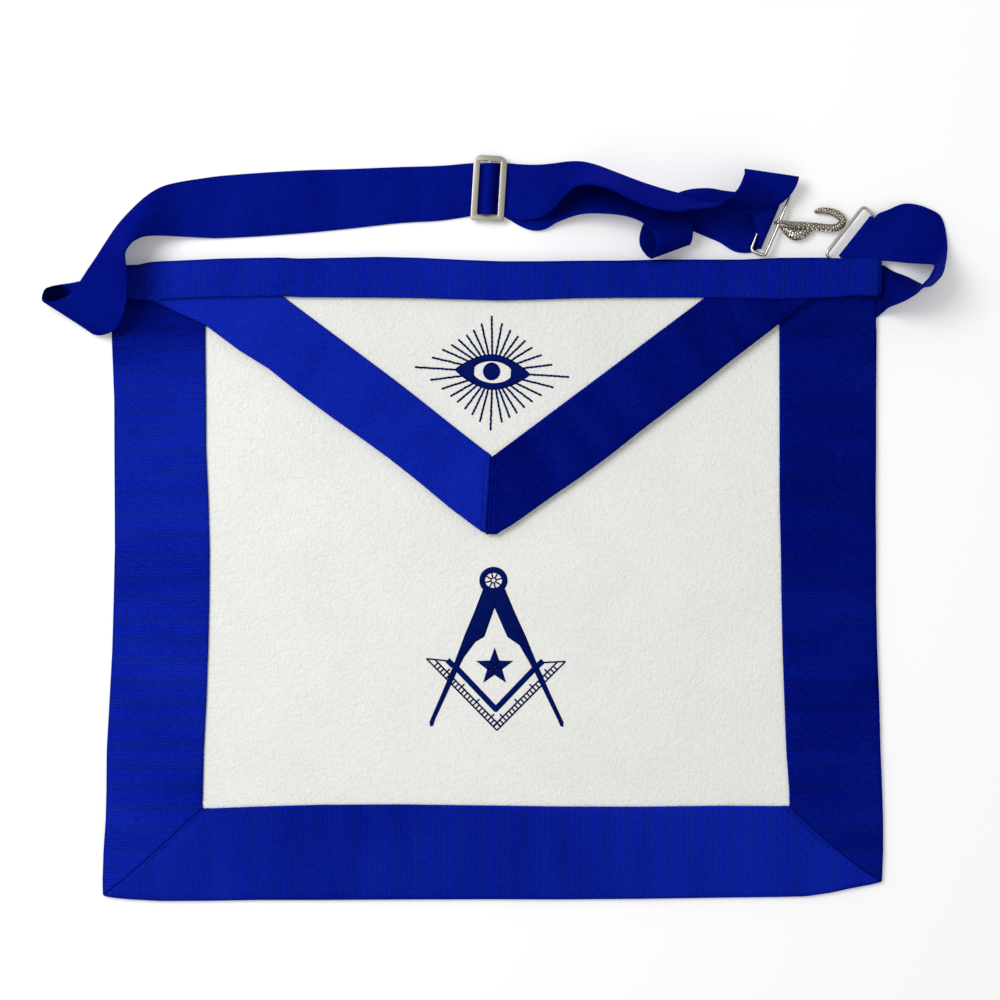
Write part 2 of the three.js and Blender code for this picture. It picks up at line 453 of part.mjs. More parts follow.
function roomed(shape, side) {
  const edge = side < 0 ? leftAt(endLow) : rightAt(endLow);
  const near = edge + side * 4;
  const far = edge - side * 4;
  const room = block(
    [Math.min(near, far), endLow, -1],
    [Math.max(near, far), HIGH / 2, BORDER_LOW],
  );
  return shapeOf(solid(shape).subtract(room));
}
add('border_left', roomed(edging(lip(-1), BORDER_LOW, BORDER), -1));
add('border_right', roomed(edging(lip(1), BORDER_LOW, BORDER), 1));
add('border_bottom', edging((share, inward) => {
  const across = inward / BORDER;
  const from = mitre(-1, across).x + MITRE;
  const to = mitre(1, across).x - MITRE;
  const x = from + (to - from) * share;
  const low = footAt(x);
  return [x, low + (hemAt(x) - low) * across];
}, BORDER_LOW, BORDER));

// The narrow ribbon along the top, its lip open where the right ring and its belt lie under it
const RING_ROOM = { from: 0.4240, to: 0.4985 };
const BAND = Math.max(...BROW.map((row) => row.lower));
const bandLeft = BROW[0].across * WIDE;
const bandRight = BROW[BROW.length - 1].across * WIDE;
const band = edging((share, inward) => {
  const x = bandLeft + (bandRight - bandLeft) * share;
  return [x, inward === BAND ? bandFootAt(x) : browAt(x) - inward];
}, BAND_LOW, BAND);
add('top_band', shapeOf(solid(band).subtract(block(
  [RING_ROOM.from * WIDE, HIGH / 2 - BAND / 2, -1],
  [RING_ROOM.to * WIDE, HIGH / 2 + BAND / 2, BAND_LOW],
))));

// The flap: a triangle of leather under two ribbons; the right one is lapped over the tip to a seam
const rise = Math.tan(FLAP_SLOPE * PI / 180);
const ribbonTall = FLAP_RIBBON / Math.cos(FLAP_SLOPE * PI / 180);
const tip = new THREE.Vector2(FLAP_TIP_X * WIDE, FLAP_TIP_Y * HIGH);
const FLAP_TOP_EDGE = HIGH / 2 - UNDER_BAND;
const outAt = (y, inner) => (y - tip.y - inner) / rise;
const HEM = 1.5;
add('flap_panel', sheet([
  [tip.x, tip.y + FLAP_BLUNT + HEM],
  [tip.x + outAt(FLAP_TOP_EDGE, 0) - HEM / Math.sin(FLAP_SLOPE * PI / 180), FLAP_TOP_EDGE],
  [tip.x - outAt(FLAP_TOP_EDGE, 0) + HEM / Math.sin(FLAP_SLOPE * PI / 180), FLAP_TOP_EDGE],
], FLAP_LOW, FLAP_TOP));
const seamFoot = tip.x - FLAP_SEAM.foot;
const seamHead = tip.x - FLAP_SEAM.head;
const lower = tip.y - FLAP_RIGHT_LOWER;
const headY = lower + ribbonTall + (tip.x - seamHead) * rise;
const footY = Math.max(tip.y + (tip.x - seamFoot) * rise, tip.y + FLAP_BLUNT);
const PULLED_IN = 28;
add('flap_ribbon_left', sheet([
  [seamFoot - GAP / 2, footY],
  [FLAP_FAN.x, FLAP_FAN.y],
  [FLAP_FAN.endX, FLAP_FAN.endY],
  [FLAP_FAN.endX, FLAP_TOP_EDGE],
  [tip.x - outAt(FLAP_TOP_EDGE, ribbonTall), FLAP_TOP_EDGE],
  [tip.x - PULLED_IN, tip.y + ribbonTall + PULLED_IN * rise],
  [seamHead - GAP / 2, headY],
], FLAP_RIBBON_LOW, FLAP_RIBBON_TOP));
add('flap_ribbon_right', sheet([
  [seamFoot + GAP / 2, footY],
  [tip.x + FLAP_BLUNT, tip.y + FLAP_BLUNT],
  [tip.x + outAt(FLAP_TOP_EDGE + FLAP_RIGHT_LOWER, 0), FLAP_TOP_EDGE],
  [tip.x + outAt(FLAP_TOP_EDGE + FLAP_RIGHT_LOWER, ribbonTall), FLAP_TOP_EDGE],
  [tip.x, lower + ribbonTall],
  [seamHead + GAP / 2, headY],
], FLAP_RIBBON_LOW, FLAP_RIBBON_TOP));

// A smooth point between the rows of a table that stand at the given distances along it
function smooth(rows, key, stops, k, share) {
  const inside = (n) => Math.min(Math.max(n, 0), rows.length - 1);
  const value = (n) => rows[inside(n)][key];
  const slope = (n) => value(n + 1).clone().sub(value(n - 1))
    .divideScalar(Math.max(stops[inside(n + 1)] - stops[inside(n - 1)], 1e-6));
  const long = stops[k + 1] - stops[k];
  const t = share;
  return value(k).clone().multiplyScalar(2 * t ** 3 - 3 * t ** 2 + 1)
    .addScaledVector(slope(k), (t ** 3 - 2 * t ** 2 + t) * long)
    .addScaledVector(value(k + 1), -2 * t ** 3 + 3 * t ** 2)
    .addScaledVector(slope(k + 1), (t ** 3 - t ** 2) * long);
}

// A belt of webbing through the sections of its table: its two edges run smoothly from row to row
function belt(table) {
  const rows = table.map((row) => {
    const turn = row.turn * PI / 180;
    const tilt = row.tilt * PI / 180;
    const half = row.wide * WEB / 2;
    const across = new THREE.Vector3(
      Math.cos(turn) * Math.cos(tilt),
      Math.sin(turn) * Math.cos(tilt),
      Math.sin(tilt),
    ).multiplyScalar(half);
    const spot = new THREE.Vector3(row.x * WIDE, row.y * HIGH, row.lift * WEB);
    return { spot, near: spot.clone().sub(across), far: spot.clone().add(across) };
  });
  const stops = [0];
  for (let k = 1; k < rows.length; k += 1) {
    const long = Math.sqrt(
      (rows[k].near.distanceTo(rows[k - 1].near) ** 2 + rows[k].far.distanceTo(rows[k - 1].far) ** 2) / 2,
    );
    stops.push(stops[k - 1] + long);
  }
  const stations = [];
  for (let k = 0; k < rows.length - 1; k += 1) {
    const count = Math.min(Math.max(2, Math.ceil((stops[k + 1] - stops[k]) / WEB_STEP)), WEB_MOST);
    for (let j = 0; j < count; j += 1) stations.push([k, j / count]);
  }
  stations.push([rows.length - 2, 1]);
  const edges = stations.map(([k, share]) => ({
    near: smooth(rows, 'near', stops, k, share),
    far: smooth(rows, 'far', stops, k, share),
  }));
  const rings = edges.map((edge, k) => {
    const before = edges[Math.max(k - 1, 0)];
    const after = edges[Math.min(k + 1, edges.length - 1)];
    const across = edge.far.clone().sub(edge.near);
    const upAt = (share) => {
      const a = before.near.clone().lerp(before.far, share);
      const b = after.near.clone().lerp(after.far, share);
      return b.sub(a).cross(across).normalize().multiplyScalar(WEB_THICK / 2);
    };
    return [[0, -1], [0.5, -1], [1, -1], [1, 1], [0.5, 1], [0, 1]].map(([u, v]) => edge.near.clone()
      .lerp(edge.far, u)
      .addScaledVector(upAt(0.5 + (u - 0.5) * 0.9), v));
  });
  return skin(rings, sixPointEnd());
}
add('belt_long', belt(LONG_BELT));
add('belt_short', belt(SHORT_BELT));

// The slider: a plate with two windows and a middle bar, leaning with the belt
const SLIDER = { x: -0.0058, y: 0.6083, z: 3.9, wide: 17.4, rail: 3.4, end: 3.0, bar: 2.0, thick: 1.4 };
const SLIDER_ROOM = 0.6;
const webInSlider = WEB * Math.max(
  ...LONG_BELT
    .filter((row) => Math.abs(row.x - SLIDER.x) * WIDE < SLIDER.wide / 2)
    .map((row) => row.wide),
);
const SLIDER_TALL = webInSlider + 2 * (SLIDER_ROOM + SLIDER.end);
const SLIDER_LEAN = -3.4;
const SLIDER_ROUND = { low: 1.4, high: 4.5, window: 1.3, bar: 0.4 };
function rounded(shape, { x, halfWide, halfTall, lowRight, highRight, highLeft, lowLeft }) {
  shape.moveTo(x - halfWide + lowLeft, -halfTall);
  shape.absarc(x + halfWide - lowRight, -halfTall + lowRight, lowRight, -PI / 2, 0);
  shape.absarc(x + halfWide - highRight, halfTall - highRight, highRight, 0, PI / 2);
  shape.absarc(x - halfWide + highLeft, halfTall - highLeft, highLeft, PI / 2, PI);
  shape.absarc(x - halfWide + lowLeft, -halfTall + lowLeft, lowLeft, PI, PI * 1.5);
  return shape;
}
const plate = rounded(new THREE.Shape(), {
  x: 0,
  halfWide: SLIDER.wide / 2,
  halfTall: SLIDER_TALL / 2,
  lowRight: SLIDER_ROUND.low,
  highRight: SLIDER_ROUND.high,
  highLeft: SLIDER_ROUND.high,
  lowLeft: SLIDER_ROUND.low,
});
const windowWide = (SLIDER.wide - 2 * SLIDER.rail - SLIDER.bar) / 2;
for (const side of [-1, 1]) {
  plate.holes.push(rounded(new THREE.Path(), {
    x: side * (SLIDER.bar + windowWide) / 2,
    halfWide: windowWide / 2,
    halfTall: SLIDER_TALL / 2 - SLIDER.end,
    lowRight: side > 0 ? SLIDER_ROUND.window : SLIDER_ROUND.bar,
    highRight: SLIDER_ROUND.bar,
    highLeft: SLIDER_ROUND.bar,
    lowLeft: side < 0 ? SLIDER_ROUND.window : SLIDER_ROUND.bar,
  }));
}
const slider = new THREE.ExtrudeGeometry(
  plate,
  { depth: SLIDER.thick, bevelEnabled: false, curveSegments: 5 },
)
  .translate(0, 0, -SLIDER.thick / 2)
  .rotateZ(SLIDER_LEAN * PI / 180)
  .translate(SLIDER.x * WIDE, SLIDER.y * HIGH, SLIDER.z);
add('slider', slider);

// A round wire along points that each have a radius, closed into a loop or with closed ends
function wire(points, sides, loop) {
  const count = points.length;
  const at = (k) => (loop ? points[(k + count) % count] : points[Math.min(Math.max(k, 0), count - 1)]);
  let up = new THREE.Vector3(0, 0, 1);
  const rings = points.map((point, k) => {
    const along = at(k + 1).spot.clone().sub(at(k - 1).spot).normalize();
    up = (loop || up).clone().addScaledVector(along, -(loop || up).dot(along)).normalize();
    const side = along.clone().cross(up);
    return Array.from({ length: sides }, (_, j) => {
      const turn = j / sides * 2 * PI;
      return point.spot.clone()
        .addScaledVector(up, Math.cos(turn) * point.round)
        .addScaledVector(side, Math.sin(turn) * point.round);
    });
  });
  const cap = Array.from({ length: sides - 2 }, (_, j) => [0, j + 1, j + 2]);
  return skin(rings, loop ? null : cap);
}

// The rings: rounded rectangles of wire, by the middle of the hooked rail and of the strap rail
const WIRE = 2.0;
const LEFT_RING_TALL = 36.4;
const RIGHT_RING_TALL = 34;
const RING_ROUND = 2.1;
function ring({ strap, hook, turn, tall }) {
  const long = new THREE.Vector3(Math.cos(turn * PI / 180), Math.sin(turn * PI / 180), 0);
  const over = hook.clone().sub(strap);
  over.addScaledVector(long, -over.dot(long));
  const wide = over.length();
  const out = over.clone().normalize();
  const middle = strap.clone().addScaledVector(over, 0.5);
  const points = [];
  const halfs = [(tall - WIRE) / 2 - RING_ROUND, wide / 2 - RING_ROUND];
  for (const [u, v, start] of [[1, 1, 0], [-1, 1, 90], [-1, -1, 180], [1, -1, 270]]) {
    for (const step of [0, 30, 60, 90]) {
      const angle = (start + step) * PI / 180;
      const a = u * halfs[0] + Math.cos(angle) * RING_ROUND;
      const b = v * halfs[1] + Math.sin(angle) * RING_ROUND;
      points.push({
        spot: middle.clone().addScaledVector(long, a).addScaledVector(out, b),
        round: WIRE / 2,
      });
    }
  }
  return wire(points, 10, long.clone().cross(out));
}
const at = (x, y, z) => new THREE.Vector3(x * WIDE, y * HIGH, z);
add('ring_left', ring({
  strap: at(0.3459, 0.5595, 2.6),
  hook: at(0.3639, 0.5478, 4.4),
  turn: 67,
  tall: LEFT_RING_TALL,
}));
add('ring_right', ring({
  strap: at(0.4659, 0.5270, 2.65),
  hook: at(0.4492, 0.5429, 5.0),
  turn: 51.7,
  tall: RIGHT_RING_TALL,
}));

// The snake: a tapering round body through its bends; its tail goes round the left ring's rail
function snake(table) {
  const curve = new THREE.CatmullRomCurve3(
    table.map((row) => at(row.x, row.y, row.lift)),
    false,
    'centripetal',
  );
  const per = 4;
  const count = (table.length - 1) * per;
  const points = steps(0, count, count).map((k) => {
    const low = Math.min(Math.floor(k / per), table.length - 2);
    const share = k / per - low;
    return {
      spot: curve.getPoint(k / count),
      round: table[low].round + (table[low + 1].round - table[low].round) * share,
    };
  });
  return wire(points, 12, null);
}
add('snake_hook', snake(SNAKE));

export default apron;
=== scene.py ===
# A masonic apron lying flat: white leather, blue ribbon borders, a ribboned flap with an embroidered
# rayed eye, compasses and square on the field, and a webbing belt with its metal fittings.
# Tables and sizes are in millimetres or in shares of the apron; pieces are scaled to metres at the end.
import math
from itertools import accumulate
import bmesh
import bpy
from mathutils import Matrix, Vector, noise


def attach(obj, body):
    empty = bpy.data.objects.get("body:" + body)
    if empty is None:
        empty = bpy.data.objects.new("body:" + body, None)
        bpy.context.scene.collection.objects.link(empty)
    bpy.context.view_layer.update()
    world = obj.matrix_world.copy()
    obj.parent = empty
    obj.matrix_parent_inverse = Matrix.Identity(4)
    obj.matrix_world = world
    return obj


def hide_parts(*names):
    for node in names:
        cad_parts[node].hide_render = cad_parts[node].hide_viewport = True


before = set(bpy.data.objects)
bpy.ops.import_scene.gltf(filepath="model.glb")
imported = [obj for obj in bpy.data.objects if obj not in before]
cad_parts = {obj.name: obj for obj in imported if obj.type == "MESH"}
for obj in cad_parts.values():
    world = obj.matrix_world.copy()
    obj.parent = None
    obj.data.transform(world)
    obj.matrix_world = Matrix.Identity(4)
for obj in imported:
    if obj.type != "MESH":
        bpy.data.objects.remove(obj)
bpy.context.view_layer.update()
mm = 0.001

# the same sizes as the model's
apron = {
    "wide": 406, "high": 334, "gap": 0.3, "border": 48.5, "band": 20, "underBand": 5.7, "seam": 0.04,
    "leather": 1.5, "ribbon": 1.0, "endHigh": 37.8, "endRoom": 18,
    # down from the top edge, then the left ribbon's outer and inner edge and the right one's inner and
    # outer edge, as shares
    "sides": [
        (0, -0.4896, -0.3699, 0.3669, 0.4921), (0.127, -0.4902, -0.3698, 0.3669, 0.4921),
        (0.221, -0.4871, -0.369, 0.3671, 0.4916), (0.299, -0.4869, -0.3688, 0.3672, 0.4915),
        (0.377, -0.4866, -0.3658, 0.3672, 0.491), (0.455, -0.4864, -0.3643, 0.3688, 0.4915),
        (0.534, -0.4879, -0.3647, 0.3697, 0.4916), (0.612, -0.4897, -0.3662, 0.3711, 0.493),
        (0.69, -0.4932, -0.3684, 0.3734, 0.4956), (0.768, -0.4968, -0.3717, 0.3759, 0.4972),
        (0.83, -0.4972, -0.373, 0.3796, 0.4993), (0.877, -0.4982, -0.3735, 0.3805, 0.5005),
        (0.924, -0.501, -0.3735, 0.3807, 0.5006), (0.971, -0.5023, -0.3735, 0.3807, 0.4992),
        (1, -0.5018, -0.3735, 0.3807, 0.4966),
    ],
    # share across, then millimetres up from the foot line to the ribbon's outer and inner edge
    "foot": [
        (-0.5005, 1.6, 47.3), (-0.4902, 0.7, 47.3), (-0.4671, -0.2, 47.3), (-0.4285, -1.1, 47.3),
        (-0.3643, -1, 47.3), (-0.3, -0.6, 48.3), (-0.2229, -0.6, 49.2), (-0.1201, -0.35, 49.4),
        (-0.0006, -0.2, 48.8), (0.0855, -0.3, 48.3), (0.1882, 0, 48.2), (0.291, 0.6, 48.7),
        (0.3681, 1, 48.5), (0.4003, 1.3, 48.5), (0.4324, 3.2, 48.5), (0.4581, 5.5, 48.5),
        (0.4838, 7.5, 48.5), (0.4992, 9, 48.5),
    ],
    # share across, then millimetres from the apron's top line up to the band's upper edge and down to
    # its lower edge
    "brow": [
        (-0.492, -4, 20.8), (-0.454, -3.6, 21.5), (-0.442, -2.4, 22.1), (-0.4285, -1.9, 22.8),
        (-0.4234, -1.75, 21.6), (-0.41, -1.6, 21.3), (-0.3591, -0.6, 20.6), (-0.345, -0.35, 20.5),
        (-0.2717, 0.15, 20.1), (-0.2486, -0.4, 20.5), (-0.1972, 0.05, 20.7), (-0.1458, 0.5, 20.8),
        (-0.0944, 0, 21.1), (-0.043, -1, 21.7), (0.0084, -1.8, 22.3), (0.0598, -1.8, 21.8),
        (0.1111, -1.5, 21.1), (0.1625, -1.45, 20.9), (0.2139, -0.9, 20.9), (0.2653, -0.9, 20.8),
        (0.3167, -0.95, 21), (0.3681, 0, 21.5), (0.4324, 0.1, 20.6), (0.4671, 0.1, 19.4),
        (0.4965, 0.1, 20.2),
    ],
}


def between(rows, column, at):
    for low, high in zip(rows, rows[1:]):
        if high[0] >= at:
            break
    share = (at - low[0]) / (high[0] - low[0])
    return low[column] + (high[column] - low[column]) * share


# a side ribbon's line at the given distance in from its outer edge
def sideAt(side, y, inward=0):
    down = 0.5 - y / apron["high"]
    outer = between(apron["sides"], 1 if side < 0 else 4, down)
    inner = between(apron["sides"], 2 if side < 0 else 3, down)
    return apron["wide"] * (outer + (inner - outer) * inward / apron["border"])


def footAt(x, inward=0):
    outer = between(apron["foot"], 1, x / apron["wide"])
    inner = between(apron["foot"], 2, x / apron["wide"])
    return -apron["high"] / 2 + outer + (inner - outer) * inward / apron["border"]


# where the side and foot ribbons meet, from the outer corner to the inner one
def mitreAt(side, inward):
    corner = sideAt(side, -apron["high"] / 2)
    for _ in range(3):
        corner = sideAt(side, footAt(corner))
    inside = sideAt(side, footAt(corner, apron["border"]), apron["border"])
    x = corner + (inside - corner) * inward / apron["border"]
    return Vector((x, footAt(x, inward)))


def browAt(x):
    return apron["high"] / 2 + between(apron["brow"], 1, x / apron["wide"])


def bandFootAt(x):
    return apron["high"] / 2 - between(apron["brow"], 2, x / apron["wide"])


def ease(value, low, high):
    share = min(max((value - low) / (high - low), 0), 1)
    return share * share * (3 - 2 * share)


# smooth noise in patches of about the given size in mm
def patches(x, y, wide, high, seed):
    return noise.noise(Vector((x / wide, y / high, seed)))


# how far the layers lift together where the apron doesn't lie quite flat: more by its edges, and not
# under the band
def swell(x, y):
    broad = 0.5 + 0.5 * patches(x, y, 95, 80, 3.1)
    small = 0.5 + 0.5 * patches(x, y, 34, 30, 7.7)
    outer = max(ease(abs(x), 150, 200), ease(-y, 118, 165))
    return (0.55 * broad + 0.25 * small * (0.4 + 0.6 * outer)) * (1 - ease(y, 112, 146))


def newMaterial(name):
    material = bpy.data.materials.new(name)
    material.use_nodes = True
    tree = material.node_tree
    return material, tree, tree.nodes["Principled BSDF"]


# sets inputs to values or to what other nodes give; i0 stands for the first input
def setInputs(tree, node, **inputs):
    for key, value in inputs.items():
        name = key.replace("_", " ")
        target = node.inputs[int(name[1:])] if name[0] == "i" and name[1:].isdigit() else node.inputs[name]
        if isinstance(value, bpy.types.NodeSocket):
            tree.links.new(value, target)
        else:
            target.default_value = value


def addNode(tree, kind, settings, output, **inputs):
    node = tree.nodes.new("ShaderNode" + kind)
    for key, value in settings.items():
        setattr(node, key, value)
    setInputs(tree, node, **inputs)
    return node.outputs[output]


def addNoise(tree, place, scale, detail, rough, output="Fac", **inputs):
    return addNode(tree, "TexNoise", {}, output, Vector=place, Scale=scale, Detail=detail, Roughness=rough,
                   **inputs)


# the wave texture's scale for bands 1 unit wide
bandScale = 0.31416


def addBands(tree, place, axis, wide, bend, detail, detailScale):
    return addNode(tree, "TexWave", {"wave_type": "BANDS", "bands_direction": axis}, "Fac", Vector=place,
                   Scale=bandScale / wide, Distortion=bend, Detail=detail, Detail_Scale=detailScale)


def objectPlace(tree):
    return addNode(tree, "TexCoord", {}, "Object")


def clothPlace(tree):
    return addNode(tree, "UVMap", {"uv_map": "cloth"}, "UV")


def scaledPlace(tree, place, scale):
    return addNode(tree, "Mapping", {}, "Vector", Vector=place, Scale=scale)


# painted shading at each point, from the mesh: painted shade in seams, folds and hollows, and painted light
# where it is below nought
def addPaintedShading(tree):
    return addNode(tree, "Attribute", {"attribute_name": "paintedShading"}, "Fac")


def addBump(tree, height, strength, distance):
    return addNode(tree, "Bump", {}, "Normal", Height=height, Strength=strength, Distance=distance * mm)


def addRange(tree, source, low, high, start=0.0, end=1.0):
    return addNode(tree, "MapRange", {}, "Result", Value=source, i1=start, i2=end, i3=low, i4=high)


def addRamp(tree, source, *stops):
    node = tree.nodes.new("ShaderNodeValToRGB")
    tree.links.new(source, node.inputs["Fac"])
    elements = node.color_ramp.elements
    while len(elements) < len(stops):
        elements.new(0.5)
    for element, (place, colour) in zip(elements, stops):
        element.position = place
        element.color = (*colour, 1)
    return node.outputs["Color"]


def sums(tree, *parts):
    total = 0.0
    for source, weight in parts:
        total = addNode(tree, "Math", {"operation": "MULTIPLY_ADD"}, 0, i0=source, i1=weight, i2=total)
    return total


# leather: pebbled grain, fine pores, slight clouding
def leatherMaterial(name, colour):
    material, tree, shader = newMaterial(name)
    place = objectPlace(tree)
    bent = addNoise(tree, place, 160.0, 2.0, 0.5, "Color")
    shift = addNode(tree, "VectorMath", {"operation": "MULTIPLY_ADD"}, "Vector", i0=bent,
                    i1=(0.0035, 0.0035, 0.0035), i2=place)
    pebble = addNode(tree, "TexVoronoi", {"feature": "SMOOTH_F1"}, "Distance", Vector=shift, Scale=620.0,
                     Smoothness=0.4, Randomness=1.0)
    pores = addNoise(tree, place, 1400.0, 3.0, 0.6)
    cloud = addNoise(tree, place, 26.0, 4.0, 0.55)
    crease = addNoise(tree, scaledPlace(tree, shift, (170.0, 340.0, 200.0)), 1.0, 3.0, 0.6, Distortion=0.9)
    shade = sums(tree, (cloud, 0.50), (pebble, 0.30), (crease, 0.20))
    height = sums(tree, (pebble, -0.7), (pores, 0.2), (crease, 1.5))
    light = [min(value * 1.03, 1) for value in colour]
    dark = [value * 0.91 for value in colour]
    setInputs(tree, shader, Base_Color=addRamp(tree, shade, (0.25, light), (0.75, dark)),
              Normal=addBump(tree, height, 1.0, 0.31), Roughness=addRange(tree, cloud, 0.42, 0.56),
              Specular_IOR_Level=0.45)
    return material


# ribbon and webbing: ribs across the length, cut by the finer warp, on a UV map in millimetres; painted
# shade where the cloth sinks into a seam or fold, and painted light and shade by how each ribbon lies to the
# light
def ribbedMaterial(name, look):
    material, tree, shader = newMaterial(name)
    uv = clothPlace(tree)
    ribs = addBands(tree, uv, "X", look["rib"], 2.2, 2.0, 1.1)
    warp = addBands(tree, uv, "Y", look["warp"], 0.3, 1.0, 0.6)
    streak = addNoise(tree, scaledPlace(tree, uv, (0.9 / look["rib"], 0.32, 1.0)), 1.0, 2.0, 0.65)
    cloud = addNoise(tree, scaledPlace(tree, uv, (0.05, 0.012, 1.0)), 1.0, 3.0, 0.5)
    fuzz = addNoise(tree, uv, 3.5, 2.0, 0.7)
    tone = sums(tree, (ribs, 0.18), (streak, 0.38), (cloud, 0.30), (fuzz, 0.14), (addPaintedShading(tree), -0.5))
    height = sums(tree, (ribs, 1.0), (warp, 0.30), (fuzz, 0.25), (streak, 0.35))
    # the darkest stop, the one named seam, is the colour of the deepest painted shade
    colour = addRamp(tree, tone, (0.05, look["seam"]), (0.30, look["dark"]), (0.50, look["middle"]),
                     (0.72, look["light"]))
    setInputs(tree, shader, Base_Color=colour, Normal=addBump(tree, height, 1.0, look["relief"]),
              Roughness=addRange(tree, streak, look["rough"] - 0.05, look["rough"] + 0.07),
              Metallic=look["metal"], Specular_IOR_Level=0.05, Specular_Tint=(0.14, 0.28, 1.0, 1), IOR=1.1)
    return material


# satin stitching: threads side by side across each bar, on the same kind of UV map, with painted shade along
# the bars' edges and on thin bars
def threadMaterial(name, dark, light, pitch):
    material, tree, shader = newMaterial(name)
    uv = clothPlace(tree)
    strand = addBands(tree, uv, "X", pitch, 1.2, 2.0, 0.5)
    shine = addNoise(tree, uv, 0.6, 3.0, 0.6)
    tone = sums(tree, (strand, 0.5), (shine, 0.5), (addPaintedShading(tree), -0.6))
    deepest = [value * 0.12 for value in dark]
    setInputs(tree, shader, Base_Color=addRamp(tree, tone, (0.05, deepest), (0.32, dark), (0.62, light)),
              Normal=addBump(tree, strand, 0.7, 0.12), Roughness=0.45, Metallic=0.35,
              Specular_IOR_Level=0.04, Specular_Tint=(0.2, 0.35, 1.0, 1), IOR=1.15)
    return material


# nickel plate: fine scratches; painted shade in its hollows and painted light on its raised parts
def metalMaterial(name, colour, rough, dull):
    material, tree, shader = newMaterial(name)
    place = objectPlace(tree)
    cloud = addNoise(tree, place, 240.0, 4.0, 0.6)
    scratch = addNoise(tree, scaledPlace(tree, place, (3000.0, 260.0, 3000.0)), 1.0, 2.0, 0.5)
    tone = sums(tree, (cloud, 0.6), (scratch, 0.4), (addPaintedShading(tree), -0.6))
    low = [value * dull for value in colour]
    dark = [value * 0.05 for value in colour]
    setInputs(tree, shader, Base_Color=addRamp(tree, tone, (0.0, dark), (0.34, low), (0.60, colour)),
              Roughness=addRange(tree, tone, rough + 0.12, rough - 0.04, 0.3, 0.7),
              Normal=addBump(tree, tone, 0.25, 0.04), Metallic=1.0)
    return material


whiteLeather = leatherMaterial("whiteLeather", (0.83, 0.84, 0.80))
flapLeather = leatherMaterial("flapLeather", (0.80, 0.81, 0.775))
blueRibbon = ribbedMaterial("blueRibbon", {
    "rib": 0.95, "warp": 0.42, "relief": 0.13, "rough": 0.40, "metal": 0.70, "seam": (0.0002, 0.001, 0.02),
    "dark": (0.0006, 0.0035, 0.135), "middle": (0.0022, 0.0092, 0.24), "light": (0.0048, 0.018, 0.36),
})
blueWebbing = ribbedMaterial("blueWebbing", {
    "rib": 0.80, "warp": 0.50, "relief": 0.12, "rough": 0.50, "metal": 0.50, "seam": (0.0002, 0.001, 0.02),
    "dark": (0.0005, 0.003, 0.125), "middle": (0.0013, 0.0062, 0.205), "light": (0.003, 0.013, 0.30),
})
navyThread = threadMaterial("navyThread", (0.0006, 0.0030, 0.055), (0.0035, 0.0130, 0.175), 0.36)
seamThread = threadMaterial("seamThread", (0.002, 0.008, 0.12), (0.01, 0.04, 0.42), 0.5)
warmNickel = metalMaterial("warmNickel", (0.50, 0.47, 0.385), 0.30, 0.80)
brightNickel = metalMaterial("brightNickel", (0.70, 0.67, 0.59), 0.16, 0.70)
agedNickel = metalMaterial("agedNickel", (0.80, 0.72, 0.60), 0.20, 0.55)
print("materials made")


# the finished piece, with a wall of the given thickness round a sheet
def finishPiece(name, bm, material, nodes=(), thick=None):
    bmesh.ops.scale(bm, vec=(mm, mm, mm), verts=bm.verts)
    mesh = bpy.data.meshes.new(name)
    bm.to_mesh(mesh)
    bm.free()
    mesh.materials.append(material)
    mesh.shade_smooth()
    piece = bpy.data.objects.new(name, mesh)
    bpy.context.scene.collection.objects.link(piece)
    if thick:
        wall = piece.modifiers.new("wall", "SOLIDIFY")
        wall.thickness = thick * mm
        wall.offset = 0
        wall.use_quality_normals = True
        rim = piece.modifiers.new("rim", "BEVEL")
        rim.width = thick * mm * 0.3
        rim.segments = 2
        rim.limit_method = "ANGLE"
        rim.angle_limit = math.radians(50)
    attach(piece, "root")
    if nodes:
        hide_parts(*nodes)
    return piece


# a grid whose points are put at place(s, t), with a UV map from the millimetres that cloth(s, t)
# gives, and with the painted shade at each point from a function of (s, t), painted light below nought
def laidGrid(along, across, place, cloth, bm=None, paintedShading=None):
    bm = bm or bmesh.new()
    uv = bm.loops.layers.uv.get("cloth") or bm.loops.layers.uv.new("cloth")
    deep = bm.verts.layers.float.get("paintedShading") or bm.verts.layers.float.new("paintedShading")
    made = bmesh.ops.create_grid(bm, x_segments=along, y_segments=across, size=1)["verts"]
    at = {}
    for vert in made:
        s = round((vert.co.x + 1) / 2 * along)
        t = round((vert.co.y + 1) / 2 * across)
        at[vert] = cloth(s, t)
        vert.co = place(s, t)
        vert[deep] = paintedShading(s, t) if paintedShading else 0
    for face in {face for vert in made for face in vert.link_faces}:
        for loop in face.loops:
            loop[uv].uv = at[loop.vert]
    return bm


def faceUp(bm):
    bmesh.ops.recalc_face_normals(bm, faces=bm.faces)
    if sum(face.normal.z * face.calc_area() for face in bm.faces) < 0:
        bmesh.ops.reverse_faces(bm, faces=bm.faces)


# the white field, with its top corners cut away over the belt's ends
fieldTop = apron["high"] / 2 - apron["underBand"]
endLow = apron["high"] / 2 - apron["endHigh"]
inset = apron["ribbon"] + 1.5 * apron["gap"]


